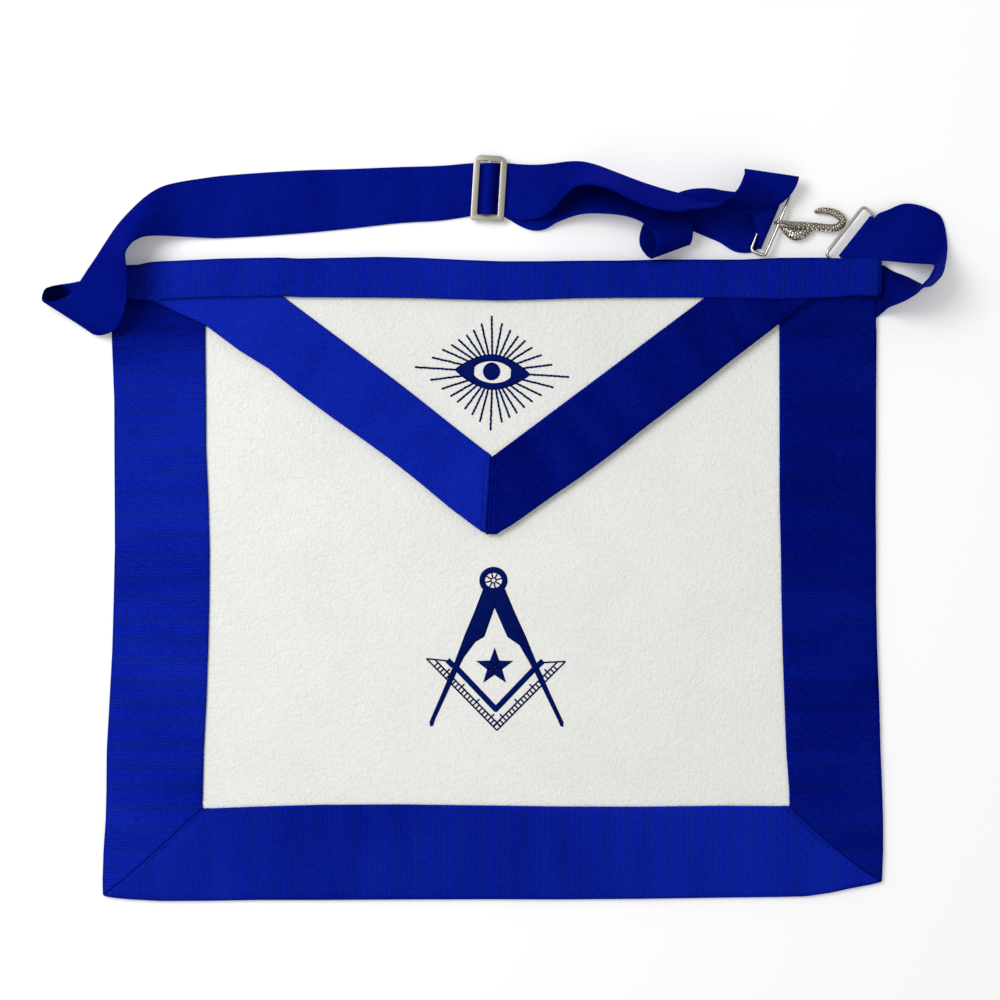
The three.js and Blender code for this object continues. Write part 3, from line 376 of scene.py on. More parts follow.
def fieldPiece():
    rows, columns = 96, 116
    # rows beside the cut corners, and columns over each
    cutRow, cutColumns = 11, 5

    def spot(s, t):
        y = fieldTop + (endLow - fieldTop) * t / cutRow
        if t > cutRow:
            y = endLow + (-apron["high"] / 2 + inset - endLow) * (t - cutRow) / (rows - cutRow)
        left = sideAt(-1, y) + inset
        right = sideAt(1, y) - inset
        if s <= cutColumns:
            x = left + apron["endRoom"] * s / cutColumns
        elif s >= columns - cutColumns:
            x = right - apron["endRoom"] * (columns - s) / cutColumns
        else:
            share = (s - cutColumns) / (columns - 2 * cutColumns)
            x = left + apron["endRoom"] + (right - left - 2 * apron["endRoom"]) * share
        foot = footAt(x) + inset
        y = max(y, foot) if t < rows else foot
        return Vector((x, y, apron["leather"] / 2 + swell(x, y)))

    bm = laidGrid(columns, rows, spot, lambda s, t: spot(s, t).xy)
    cutLeft = sideAt(-1, fieldTop) + apron["endRoom"] - 1
    cutRight = sideAt(1, fieldTop) - apron["endRoom"] + 1
    corners = [vert for vert in bm.verts
               if vert.co.y > endLow + 0.1 and not cutLeft <= vert.co.x <= cutRight]
    bmesh.ops.delete(bm, geom=corners, context="VERTS")
    faceUp(bm)
    return finishPiece("leather_field", bm, whiteLeather, ["panel"], thick=apron["leather"])


field = fieldPiece()
print("leather field laid")

# ribbon borders: across the ribbon, from its inner edge to the lip turned down over the leather
ribbon = {
    # thickness of the cloth, the height of its middle, and the lowest that the middle may lie
    "thick": 0.9, "middle": 2.3, "lowest": 0.45,
    # flat width of the borders, with the turned lip
    "flat": 0.0515,
    # distance in from the edge, height over the ribbon's middle line
    "turned": [(4.0, 0.0), (2.4, 0.0), (1.6, -0.06), (1.05, -0.25), (0.7, -0.6), (0.55, -1.1), (0.5, -1.75)],
    "innerEdge": [(0.0, -0.22), (0.35, -0.06), (1.1, 0.0)],
    # painted light and shade: how much darker each ribbon is painted, or lighter below nought, by how it
    # lies to the light
    "paintedSides": {"left": -0.16, "right": 0.22, "foot": -0.18, "flapLeft": -0.30, "flapRight": 0.34,
               "band": -0.06},
    # where on the roll of ribbon a piece starts, so that no two pieces look alike
    "rollFrom": {"foot": 777, "band": 1555, "flapRight": 400},
}


# painted light and shade on a ribbon: lighter or darker along it as the light falls on it, with some patchy
# tone
def paintedLightAndShade(name, x, y):
    soft = 0.16 * patches(x, y, 70, 70, 2.2)
    more = {
        "left": 0.44 * ease(y, 90, 150) - 0.12 * (1 - ease(abs(y - 60), 20, 60)),
        "right": -0.13 * (1 - ease(y, -140, -60)),
        "foot": 0.20 * (1 - ease(abs(x + 45), 30, 120)) - 0.11,
        "band": -0.12 * (1 - ease(x, -160, -60)),
    }
    return ribbon["paintedSides"][name] + soft + more.get(name, 0)


# distance in from the outer edge and height, from the inner edge to the lip
def ribbonSection(wide, middle, count=9):
    edge = [(wide - away, middle + drop) for away, drop in ribbon["innerEdge"]]
    lip = [(away, middle + drop) for away, drop in ribbon["turned"]]
    start, end = edge[-1][0], lip[0][0]
    flat = [(start + (end - start) * k / count, middle) for k in range(1, count)]
    return edge + flat + lip


# millimetres from the inner edge, round the lip
def acrossCloth(wide, middle, point):
    return wide - point[0] + middle - point[1]


# height of a border's cloth, which ripples a little and sinks into its seams
def borderHeight(x, y, z, seam):
    ripple = 0.14 * patches(x, y, 11, 11, 1.7)
    z += (swell(x, y) + ripple) * min(z / ribbon["middle"], 1) - seamTuck(seam)
    return max(z, ribbon["lowest"])


# stations along a piece, each a share of its length and mm more, closer together towards a seam
def seamStations(count, atStart, atEnd):
    close = (0, 0.12, 0.3, 0.55, 0.9, 1.5, 2.4)
    low = [(0, away) for away in close] if atStart else []
    high = [(1, -away) for away in reversed(close)] if atEnd else []
    first, last = (1 if atStart else 0), (count if atEnd else count + 1)
    return low + [(k / count, 0) for k in range(first, last)] + high


# the ribbons meet at a mitre: how far the cloth sinks into the seam, and how deep the painted shade in it is
def seamTuck(away):
    return 0.42 * (1 - ease(away, 0, 1.3))


def seamShade(away):
    return 0.55 * (1 - ease(away, 0.1, 0.8))


def ribbonPiece(name, columns, section, spot, cloth, shade, node, up=False):
    bm = laidGrid(columns, len(section) - 1, spot, cloth, paintedShading=lambda s, t: shade[s, t])
    if up:
        faceUp(bm)
    return finishPiece(name, bm, blueRibbon, [node], thick=ribbon["thick"])


def sideBorder(side, name, node):
    section = ribbonSection(apron["border"], ribbon["middle"])
    stations = seamStations(118, False, True)
    ribbonKey = "left" if side < 0 else "right"
    shade = {}

    def spot(s, t):
        inward, z = section[t]
        corner = mitreAt(side, inward)
        low = corner.y + apron["seam"]
        share, more = stations[s]
        y = fieldTop + (low - fieldTop) * share - more
        slip = corner.x - sideAt(side, corner.y, inward)
        x = sideAt(side, y, inward) + slip * (1 - ease(y - low, 0, 30))
        # over the belt's end the lip isn't turned down
        if y > endLow - 2:
            z = max(z, ribbon["middle"] - 0.35)
        # painted shade in the seam, and painted light and shade by how the ribbon lies to the light
        shade[s, t] = seamShade(y - low) + paintedLightAndShade(ribbonKey, x, y)
        return Vector((x, y, borderHeight(x, y, z, y - low)))

    def cloth(s, t):
        return (spot(s, t).y, acrossCloth(apron["border"], ribbon["middle"], section[t]))

    return ribbonPiece(name, len(stations) - 1, section, spot, cloth, shade, node)


def footBorder():
    section = ribbonSection(apron["border"], ribbon["middle"])
    stations = seamStations(150, True, True)
    shade = {}

    def spot(s, t):
        inward, z = section[t]
        start = mitreAt(-1, inward).x + apron["seam"]
        end = mitreAt(1, inward).x - apron["seam"]
        share, more = stations[s]
        x = start + (end - start) * share + more
        y = footAt(x, inward)
        seam = min(x - start, end - x)
        # painted shade in the seams, and painted light and shade by how the ribbon lies to the light
        shade[s, t] = seamShade(seam) + paintedLightAndShade("foot", x, y)
        return Vector((x, y, borderHeight(x, y, z, seam)))

    def cloth(s, t):
        across = acrossCloth(apron["border"], ribbon["middle"], section[t])
        return (spot(s, t).x + ribbon["rollFrom"]["foot"], across)

    return ribbonPiece("ribbon_foot", len(stations) - 1, section, spot, cloth, shade, "border_bottom")


leftBorder = sideBorder(-1, "ribbon_left", "border_left")
rightBorder = sideBorder(1, "ribbon_right", "border_right")
bottomBorder = footBorder()
print("ribbon borders laid")

# the flap: thin leather under two ribbons, its right edge a little raised
flap = {
    "slope": 36.8, "tipX": -0.001, "tipY": 0.064, "ribbon": 35, "hem": 1.5, "seamFoot": 3.4, "seamHead": 0.8,
    "rightLower": 1.6, "blunt": 1.9, "leftEnd": 176, "leather": 1.1, "leatherMiddle": 3.7,
    "ribbonMiddle": 5.1,
    # across a ribbon from its outer edge, as a share, and how far the cloth curls down there
    "section": [(0, 0.30), (0.012, 0.10), (0.035, 0), *((k / 10, 0) for k in range(1, 10)), (0.965, 0),
                (0.988, 0.10), (1, 0.28)],
    # distance from the tip, how far the outer edge lies below its straight line
    "leftEdge": [(0, 0), (4, 0.4), (6.7, 0.9), (22.3, 0.9), (38, -0.5), (53.6, -1.2), (69.3, -0.8),
                 (84.9, -0.2), (100.6, -0.15), (116.2, -1.0), (131.9, 1.0), (147.5, 1.0), (150.5, 1.4),
                 (176, 8.8)],
    "rightEdge": [(0, -3.5), (1.7, -1.9), (3.8, -2.1), (5.9, -1.7), (9, -1.0), (14.2, -0.7), (29.9, -0.2),
                  (45.5, 0.8), (61.2, 0.9), (76.8, 0.15), (92.5, 0), (108.1, -0.2), (123.8, -1.15),
                  (139.4, -1.4), (165.5, -2.0), (190, -2.0)],
}
flapSlope = math.radians(flap["slope"])
flapRise = math.tan(flapSlope)
tipX = flap["tipX"] * apron["wide"]
tipY = flap["tipY"] * apron["high"]
ribbonTall = flap["ribbon"] / math.cos(flapSlope)


def flapLift(x, y):
    outside = (fieldTop - y) + 1
    along = ease(x - tipX, 12, 120) * ease(outside, 4, 50)
    return swell(x, y) + 0.55 * along + 0.10 * patches(x, y, 24, 24, 5.5)


def flapPiece():
    rows, columns = 48, 84
    low = tipY + flap["blunt"] + flap["hem"]

    def spot(s, t):
        y = fieldTop + (low - fieldTop) * t / rows
        half = max((y - low) / flapRise, 0)
        x = tipX + half * (2 * s / columns - 1)
        return Vector((x, y, flap["leatherMiddle"] + flapLift(x, y)))

    bm = laidGrid(columns, rows, spot, lambda s, t: spot(s, t).xy)
    bmesh.ops.remove_doubles(bm, verts=bm.verts, dist=0.01)
    faceUp(bm)
    return finishPiece("leather_flap", bm, flapLeather, ["flap_panel"],
                       thick=flap["leather"])


# the right ribbon is a little lower than the left one and is lapped over the tip to the seam
def flapRibbon(side, name, node):
    stations = seamStations(104, True, False)
    section = flap["section"]
    lower = flap["rightLower"] if side > 0 else 0
    ribbonKey = "flapLeft" if side < 0 else "flapRight"
    shade = {}

    def spot(s, t):
        across, curl = section[t]
        seamX = tipX - flap["seamFoot"] + (flap["seamFoot"] - flap["seamHead"]) * across
        rise = across * ribbonTall
        long = (fieldTop - tipY + lower - rise) / flapRise
        end = tipX + side * min(long, flap["leftEnd"] if side < 0 else long)
        start = seamX + side * apron["seam"]
        share, more = stations[s]
        x = start + (end - start) * share + side * more
        away = side * (x - tipX)
        if away < 0:
            y = tipY + rise + flap["blunt"] * (1 - across) - lower * across
        else:
            edge = between(flap["leftEdge" if side < 0 else "rightEdge"], 1, away)
            y = tipY + rise - lower + away * flapRise - edge * (1 - across)
            if side < 0:
                y -= 1.7 * across * (1 - ease(away, 2, 55))
            y = max(y, tipY + rise * 0.96 + flap["blunt"] * (1 - across) - 1.6 * across)
        seam = abs(x - seamX)
        tuck = seamTuck(seam) + curl
        ridge = 0.25 * ease(seam, 0.4, 1.6) * (1 - ease(seam, 1.6, 4.0)) if side > 0 else 0
        crease = patches(away, across * 2.2, 7, 1, 9.1) * (1 - ease(away, 25, 70))
        ridge += 0.20 * crease * ease(seam, 1, 6) * (1 if side > 0 else 0.4)
        # painted shade in the seam, and painted light and shade by how the ribbon lies to the light
        shade[s, t] = seamShade(seam) + paintedLightAndShade(ribbonKey, x, y)
        return Vector((x, y, flap["ribbonMiddle"] + ridge - tuck + flapLift(x, y)))

    def cloth(s, t):
        point = spot(s, t)
        along = abs(point.x - tipX) * math.cos(flapSlope) + (point.y - tipY) * math.sin(flapSlope)
        return (along + ribbon["rollFrom"].get(ribbonKey, 0), section[t][0] * flap["ribbon"])

    return ribbonPiece(name, len(stations) - 1, section, spot, cloth, shade, node, up=True)


flapField = flapPiece()
flapLeft = flapRibbon(-1, "ribbon_flap_left", "flap_ribbon_left")
flapRight = flapRibbon(1, "ribbon_flap_right", "flap_ribbon_right")
print("flap laid")

# the band folded over the top edge, its lip open over the right ring
band = {
    "middle": 6.4, "ringFrom": 0.4240, "lowCorner": 3.0, "highCorner": 1.5, "lipLow": (2.6, 3.8, 5.0, 5.9),
}


def bandPiece():
    section = ribbonSection(apron["band"], band["middle"], count=6)
    section += [(0.5, band["middle"] - down) for down in band["lipLow"]]
    columns = 190
    start = apron["brow"][0][0] * apron["wide"]
    end = apron["brow"][-1][0] * apron["wide"]
    shade = {}

    def spot(s, t):
        inward, z = section[t]
        x = start + (end - start) * s / columns
        top = browAt(x)
        y = top - inward
        lower = bandFootAt(x)
        low = max(band["lowCorner"] - (apron["band"] - inward), 0)
        high = max(band["highCorner"] - inward, 0)
        slip = band["lowCorner"] - math.sqrt(band["lowCorner"] ** 2 - low * low)
        slip += band["highCorner"] - math.sqrt(band["highCorner"] ** 2 - high * high)
        x -= slip * max(0, 1 - (end - x) / 8)
        if inward > 4:
            y = top - 4 + (lower - top + 4) * (inward - 4) / (apron["band"] - 4)
        if band["ringFrom"] * apron["wide"] - 1 < x:
            z = max(z, band["middle"] - 0.28)
        ends = 0.35 * (1 - ease(min(x - start, end - x), 0, 1.4))
        soft = 0.12 * patches(x, y, 18, 14, 8.8) if z > 6 else 0
        # painted light and shade by how the band lies to the light
        shade[s, t] = paintedLightAndShade("band", x, 150)
        return Vector((x, y, z - ends * (z > 5) + soft))

    def cloth(s, t):
        across = acrossCloth(apron["band"], band["middle"], section[t])
        return (spot(s, t).x + ribbon["rollFrom"]["band"], across)

    return ribbonPiece("ribbon_band", columns, section, spot, cloth, shade, "top_band")


topBand = bandPiece()
print("top band laid")

# belts: rows of centre, height, turn and tilt across the webbing, and its width, in shares of
# the apron and of the webbing, as in the model
webbing = {
    "wide": 30, "thick": 1.15, "across": 10, "step": 2.6, "fewest": 3, "most": 24,
    # the mouth of the roll at the long belt's far end is painted dark, as painted shade for the shade it
    # lies
    # in: rows between which the painted shade comes and goes, how deep it is, and how far across it reaches
    "mouth": {"from": (3.1, 3.8), "to": (5.0, 5.4), "deep": 1.3, "reach": (0.3, 0.6)},
    "long": [
        (-0.4591, 0.4356, 0.025, -90, 0, 0.991), (-0.4874, 0.4348, 0.025, -90, 0, 0.991),
        (-0.5021, 0.429, 0.028, -78.6, -0.3, 0.966), (-0.5181, 0.4223, 0.034, -61.8, -0.7, 1.024),
        (-0.5395, 0.4169, 0.062, -41.3, -1.7, 1.226), (-0.5455, 0.4098, 0.133, -34.8, -3.2, 1.072),
        (-0.5366, 0.4046, 0.23, -31.4, -4.7, 1.072), (-0.5188, 0.4096, 0.3, -33.3, 0, 1.037),
        (-0.5051, 0.4212, 0.367, -33.7, 7.5, 1.003), (-0.4958, 0.4418, 0.467, -33.5, 22.5, 1.043),
        (-0.4901, 0.4607, 0.525, -29.4, 33.7, 1.051), (-0.485, 0.4832, 0.55, -27.7, 46.5, 1.056),
        (-0.4801, 0.5069, 0.533, -38.7, 56.3, 1.042), (-0.4727, 0.5272, 0.478, -64.5, 56.1, 1.056),
        (-0.4624, 0.5435, 0.43, -82.8, 49.9, 1.054), (-0.4492, 0.5594, 0.347, -95.7, 38.3, 1.032),
        (-0.4342, 0.5704, 0.255, -102.4, 26.6, 1.02), (-0.4153, 0.5752, 0.163, -102.4, 15.8, 1.002),
        (-0.3905, 0.5779, 0.08, -101, 6, 1.026), (-0.348, 0.5803, 0.033, -94.5, 0.7, 1.091),
        (-0.2504, 0.5878, 0.027, -92.7, 0, 1.096), (-0.1843, 0.5929, 0.027, -90, 0, 1.034),
        (-0.1201, 0.5987, 0.027, -90, 0, 0.973), (-0.0687, 0.6016, 0.027, -90, 0, 0.951),
        (-0.0327, 0.6065, 0.027, -93.4, 0, 0.929), (-0.0218, 0.6079, 0.053, -93.4, 0, 0.899),
        (-0.0183, 0.6078, 0.07, -93.4, 0, 0.898), (-0.0163, 0.6076, 0.088, -93.4, 0, 0.889),
        (-0.0145, 0.6077, 0.113, -93.4, 0, 0.879), (-0.0139, 0.6074, 0.153, -93.4, 0, 0.878),
        (-0.0123, 0.6066, 0.21, -93.4, 0, 0.887), (-0.0088, 0.6063, 0.235, -93.4, 0, 0.895),
        (-0.0057, 0.6064, 0.237, -93.4, 0, 0.895), (-0.0027, 0.6064, 0.223, -93.4, 0, 0.895),
        (0.0001, 0.6068, 0.187, -93.4, 0, 0.896), (0.0015, 0.6074, 0.14, -93.4, 0, 0.897),
        (0.0033, 0.6077, 0.097, -93.4, 0, 0.898), (0.0064, 0.6078, 0.075, -93.4, 0, 0.898),
        (0.0186, 0.606, 0.074, -94, 0, 0.928), (0.0334, 0.603, 0.08, -91, 0, 0.96),
        (0.05, 0.6025, 0.107, -91.1, 3.2, 0.954), (0.0659, 0.605, 0.207, -90.3, 15.6, 0.94),
        (0.0791, 0.611, 0.34, -92, 32.8, 0.961), (0.0948, 0.6213, 0.448, -98.1, 49.2, 0.973),
        (0.1087, 0.6262, 0.515, -104.3, 58.6, 1.019), (0.1277, 0.6247, 0.537, -103.4, 64, 1.016),
        (0.1524, 0.6152, 0.54, -103.1, 65.9, 1.008), (0.1841, 0.5982, 0.542, -102.9, 63.4, 1.026),
        (0.2095, 0.5882, 0.543, -103.8, 63.3, 1.022), (0.2329, 0.5823, 0.548, -103.9, 65.8, 1.012),
        (0.2551, 0.5808, 0.56, -107, 71.8, 0.997), (0.2702, 0.5799, 0.577, -113, 75.6, 1.012),
        (0.2828, 0.5787, 0.585, -121.4, 78.7, 1.01), (0.2929, 0.5794, 0.587, 161.6, 85.6, 0.963),
        (0.3036, 0.5811, 0.6, 140.9, 77.7, 0.921), (0.3183, 0.5842, 0.6, 145.9, 62.4, 0.865),
        (0.3296, 0.59, 0.567, 147.9, 45.5, 0.841), (0.34, 0.5985, 0.497, 149.6, 27.9, 0.868),
        (0.3491, 0.6113, 0.423, 159, 14, 0.91), (0.3536, 0.6216, 0.377, 167.5, 6.9, 0.938),
        (0.3552, 0.6292, 0.292, 172.1, 3, 0.957), (0.3552, 0.6231, 0.213, 171.3, 0, 0.919),
        (0.354, 0.6096, 0.2, 178, -1, 0.804), (0.3519, 0.5946, 0.188, -161.8, -2.4, 0.708),
        (0.352, 0.5815, 0.183, -138.7, -2.8, 0.7), (0.3535, 0.5668, 0.172, -121.4, -1.8, 0.82),
        (0.3548, 0.5554, 0.135, -113, 0, 0.985), (0.356, 0.5548, 0.093, -113, 0, 0.986),
        (0.3538, 0.5558, 0.045, -113, 0, 0.987), (0.3468, 0.5553, 0.022, -113, 0, 1.12),
        (0.324, 0.555, 0.024, -111.5, 0, 1.06), (0.3037, 0.5636, 0.025, -111.8, 0, 0.936),
        (0.2851, 0.5695, 0.025, -110.1, 0, 0.86), (0.2681, 0.5749, 0.025, -104.5, 0, 0.799),
        (0.2523, 0.5745, 0.027, -79, 0.1, 0.726), (0.2392, 0.5667, 0.031, -50.1, -0.4, 0.746),
        (0.2288, 0.5536, 0.053, -27, -2.8, 0.813), (0.2222, 0.5387, 0.102, -10.5, -6.1, 0.903),
        (0.2202, 0.5215, 0.187, 4.4, -10.1, 0.91), (0.226, 0.5093, 0.302, 21.6, -17.2, 0.776),
        (0.2304, 0.5226, 0.492, 20.5, -22.8, 0.73), (0.2274, 0.5424, 0.525, 17.2, -22.4, 0.742),
        (0.2134, 0.5634, 0.392, 38.3, -24.8, 0.754), (0.1979, 0.5772, 0.303, 61.9, -28.9, 0.676),
        (0.1742, 0.5884, 0.307, 74.9, -36.2, 0.768), (0.1418, 0.5989, 0.27, 84.5, -31.8, 0.874),
        (0.1126, 0.6033, 0.189, 85.7, -21, 0.899), (0.0834, 0.598, 0.096, 86.7, -8.4, 0.966),
        (0.0674, 0.5899, 0.049, 88, -2.8, 0.998), (0.0514, 0.5881, 0.031, 89, -0.7, 1.001),
        (0.0347, 0.5945, 0.025, 89, 0, 0.982), (0.0135, 0.6068, 0.024, 86.6, 0, 0.899),
        (0.0058, 0.6081, 0.028, 86.6, 0, 0.899), (-0.0045, 0.6081, 0.075, 86.6, 0, 0.898),
        (-0.0082, 0.6081, 0.076, 86.6, 0, 0.898), (-0.0099, 0.608, 0.084, 86.6, 0, 0.898),
        (-0.0106, 0.6077, 0.107, 86.6, 0, 0.898), (-0.0106, 0.6072, 0.153, 86.6, 0, 0.897),
        (-0.0098, 0.607, 0.176, 86.6, 0, 0.896), (-0.0082, 0.6069, 0.184, 86.6, 0, 0.896),
        (-0.0054, 0.6068, 0.185, 86.6, 0, 0.896),
    ],
    "short": [
        (0.4649, 0.4459, 0.025, -91, 0, 0.977), (0.4842, 0.4459, 0.025, -91, 0, 0.977),
        (0.4928, 0.4487, 0.025, -91.6, 0, 0.916), (0.4998, 0.4513, 0.077, -94.1, 7, 0.824),
        (0.506, 0.4513, 0.222, -97.4, 30, 0.78), (0.5144, 0.4505, 0.347, -100.1, 47.8, 0.864),
        (0.5247, 0.4503, 0.422, -106.8, 59, 0.922), (0.5336, 0.4499, 0.472, -118.1, 67.5, 0.963),
        (0.5411, 0.45, 0.505, -136.5, 73, 1.001), (0.5464, 0.4518, 0.513, -155.8, 74.7, 1.009),
        (0.5519, 0.456, 0.513, -169.5, 74.2, 1.011), (0.5582, 0.4629, 0.515, -167.4, 72.1, 1.019),
        (0.5634, 0.4719, 0.508, -164.3, 69.7, 1.013), (0.5674, 0.4859, 0.492, -151.5, 67.5, 0.992),
        (0.5684, 0.4994, 0.467, -134.3, 59.3, 1.008), (0.5654, 0.5108, 0.425, -125.5, 48.4, 1.048),
        (0.5603, 0.5209, 0.35, -121, 35.6, 1.088), (0.5529, 0.5286, 0.26, -119.6, 23.8, 1.108),
        (0.5426, 0.5335, 0.188, -117, 15.3, 1.099), (0.5309, 0.5376, 0.147, -114.3, 9.8, 1.101),
        (0.5199, 0.5397, 0.128, -109.5, 6.6, 1.077), (0.509, 0.5393, 0.126, -108.8, 4.3, 1.037),
        (0.4931, 0.5353, 0.14, -110.9, 2.4, 0.942), (0.4786, 0.5321, 0.151, -117.2, 0.9, 0.933),
        (0.4679, 0.5301, 0.156, -128.3, 0, 0.877), (0.4651, 0.5328, 0.136, -128.3, 0, 0.877),
        (0.464, 0.5339, 0.088, -128.3, 0, 0.878), (0.4651, 0.5328, 0.04, -128.3, 0, 0.879),
        (0.4679, 0.5301, 0.023, -128.3, 0, 0.88), (0.4768, 0.5216, 0.023, -128.3, 0, 0.88),
    ],
}


def beltRows(table):
    rows = []
    for x, y, lift, turn, tilt, wide in table:
        turn, tilt = math.radians(turn), math.radians(tilt)
        half = wide * webbing["wide"] / 2
        level = math.cos(tilt)
        across = Vector((math.cos(turn) * level, math.sin(turn) * level, math.sin(tilt))) * half
        centre = Vector((x * apron["wide"], y * apron["high"], lift * webbing["wide"]))
        rows.append((centre - across, centre + across))
    return rows


# the point at share t of the way from one row's point to the next, on a smooth curve through all
def smoothPoint(values, stops, k, t):
    last = len(values) - 1
    long = stops[k + 1] - stops[k]

    def slope(n):
        low, high = max(n - 1, 0), min(n + 1, last)
        return (values[high] - values[low]) / max(stops[high] - stops[low], 1e-6)

    return (values[k] * (2 * t ** 3 - 3 * t ** 2 + 1) + slope(k) * (t ** 3 - 2 * t ** 2 + t) * long
            + values[k + 1] * (-2 * t ** 3 + 3 * t ** 2) + slope(k + 1) * (t ** 3 - t ** 2) * long)


def beltEdges(table):
    rows = beltRows(table)
    steps = [((after[0] - before[0]).length, (after[1] - before[1]).length)
             for before, after in zip(rows, rows[1:])]
    stops = list(accumulate((math.sqrt((near * near + far * far) / 2) for near, far in steps), initial=0))
    edges = []
    for k in range(len(rows) - 1):
        count = max(webbing["fewest"], math.ceil((stops[k + 1] - stops[k]) / webbing["step"]))
        count = min(count, webbing["most"])
        edges += [(k, j / count) for j in range(count)]
    edges.append((len(rows) - 2, 1))
    nears = [row[0] for row in rows]
    fars = [row[1] for row in rows]
    return [(smoothPoint(nears, stops, k, share), smoothPoint(fars, stops, k, share), k + share)
            for k, share in edges]


def beltPiece(name, table, node):
    edges = beltEdges(table)
    across = webbing["across"]
    mouth = webbing["mouth"]
    far = list(accumulate((((after[0] - before[0]).length + (after[1] - before[1]).length) / 2
                           for before, after in zip(edges, edges[1:])), initial=0))

    def spot(s, t):
        return edges[s][0].lerp(edges[s][1], t / across)

    # painted shade in the mouth of the roll
    def paintedShading(s, t):
        if node != "belt_long":
            return 0
        inside = ease(edges[s][2], *mouth["from"]) * (1 - ease(edges[s][2], *mouth["to"]))
        return mouth["deep"] * inside * (1 - ease(t / across, *mouth["reach"]))

    bm = laidGrid(len(edges) - 1, across, spot, lambda s, t: (far[s], t / across * webbing["wide"]),
                  paintedShading=paintedShading)
    print(name, "is", round(far[-1]), "mm long")
    return finishPiece(name, bm, blueWebbing, [node], thick=webbing["thick"])


beltPiece("webbing_long", webbing["long"], "belt_long")
beltPiece("webbing_short", webbing["short"], "belt_short")
print("belts laid")


# tube along a path, far[s] mm along at each point, with half-widths across and up; its seam is welded
# and its ends are closed
def tube(bm, path, far, size, around, paintedShading):
    frames = []
    up = Vector((0, 0, 1))
    for k, point in enumerate(path):
        along = path[min(k + 1, len(path) - 1)] - path[max(k - 1, 0)]
        along.normalize()
        up = (up - along * up.dot(along)).normalized()
        frames.append((point, along.cross(up), up))

    def spot(s, t):
        point, side, rise = frames[s]
        wide, tall = size(s, t / around)
        turn = 2 * math.pi * (t % around) / around
        return point + side * math.cos(turn) * wide + rise * math.sin(turn) * tall

    laidGrid(len(path) - 1, around, spot, lambda s, t: (far[s], t / around * 6), bm, paintedShading)
    bmesh.ops.remove_doubles(bm, verts=bm.verts, dist=0.002)
    bmesh.ops.holes_fill(bm, edges=[edge for edge in bm.edges if edge.is_boundary], sides=40)
    bmesh.ops.recalc_face_normals(bm, faces=bm.faces)


# the slider and the rings keep the model's shape, with rounded edges
metal = {"bevel": 0.32, "steps": 4, "flat": math.radians(3), "sharp": math.radians(60)}


def cadCopy(node):
    bm = bmesh.new()
    bm.from_mesh(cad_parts[node].data)
    bmesh.ops.scale(bm, vec=(1000, 1000, 1000), verts=bm.verts)
    bmesh.ops.remove_doubles(bm, verts=bm.verts, dist=0.005)
    return bm


def sliderPiece():
    bm = cadCopy("slider")
    bmesh.ops.dissolve_limit(bm, angle_limit=metal["flat"], verts=bm.verts, edges=bm.edges)
    sharp = [edge for edge in bm.edges if edge.calc_face_angle(0) > metal["sharp"]]
    bmesh.ops.bevel(bm, geom=sharp, offset=metal["bevel"], segments=metal["steps"], affect="EDGES",
                    profile=0.5, material=-1)
    finishPiece("slider_frame", bm, warmNickel, ["slider"])


def ringPiece(name, node):
    bm = cadCopy(node)
    bmesh.ops.join_triangles(bm, faces=bm.faces, angle_face_threshold=metal["sharp"],
                             angle_shape_threshold=metal["sharp"])
    piece = finishPiece(name, bm, brightNickel, [node])
    rounding = piece.modifiers.new("round", "SUBSURF")
    rounding.levels = 2
    rounding.render_levels = 2


sliderPiece()
ringPiece("ring_of_long_belt", "ring_left")
ringPiece("ring_of_short_belt", "ring_right")

# the snake: a scaled body through its bends, with a flattened head
snake = {
    # points round the body, steps of its path for a row, length of a scale, scales round, how far they
    # stand out, and steps from where the head starts to the end, and over which it widens
    "around": 30, "per": 20, "scale": 1.30, "scalesRound": 7, "relief": 0.30, "head": 58, "neck": 32,
    # first and last row of the beads, their distance and radius, and how they lie beside the body
    "beads": (14.3, 18.6, 2.35, 0.78), "bellyBeads": (2.1, 0.6), "beadSide": (0.1, -0.80, 0.55),
    # the loop of the body that hangs below: centre in shares of the apron, height and radius in mm
    "belly": [(0.3685, 0.5475, 2.0, 0.7), (0.376, 0.544, 2.2, 2.0), (0.385, 0.5385, 2.5, 3.0),
              (0.393, 0.5375, 2.6, 2.9), (0.4015, 0.541, 2.5, 2.1), (0.4105, 0.5455, 2.4, 0.8)],
    # the body from its tail to its head, in the same way
    "rows": [
        (0.4086, 0.5415, 1.9, 0.6), (0.4035, 0.5387, 1.9, 1.3), (0.3964, 0.5353, 2.4, 2.1),
        (0.3887, 0.534, 3, 2.7), (0.3816, 0.5359, 2.8, 2.4), (0.3759, 0.5403, 2.1, 1.6),
        (0.371, 0.5459, 1.7, 0.9), (0.3651, 0.5512, 2.1, 0.8), (0.3613, 0.5535, 3.05, 0.7),
        (0.3608, 0.5541, 4.5, 0.7), (0.3622, 0.5548, 6.05, 0.7), (0.3663, 0.555, 6.8, 0.85),
        (0.3725, 0.5543, 5.9, 1.1), (0.3797, 0.5529, 4.4, 1.5), (0.3881, 0.552, 3.3, 1.8),
        (0.3983, 0.5511, 2.7, 2), (0.4105, 0.5493, 2.5, 2.15), (0.4221, 0.5475, 2.5, 2.2),
        (0.4324, 0.5464, 2.5, 2.2), (0.4414, 0.5484, 2.4, 2.15), (0.447, 0.5539, 2.35, 2.1),
        (0.4477, 0.5603, 2.4, 2.1), (0.4427, 0.5668, 2.6, 2.2), (0.4346, 0.5715, 2.7, 2.1),
        (0.4247, 0.5737, 2.6, 1.8), (0.417, 0.5732, 2.5, 1.45), (0.4113, 0.5715, 2.4, 0.8),
    ],
}


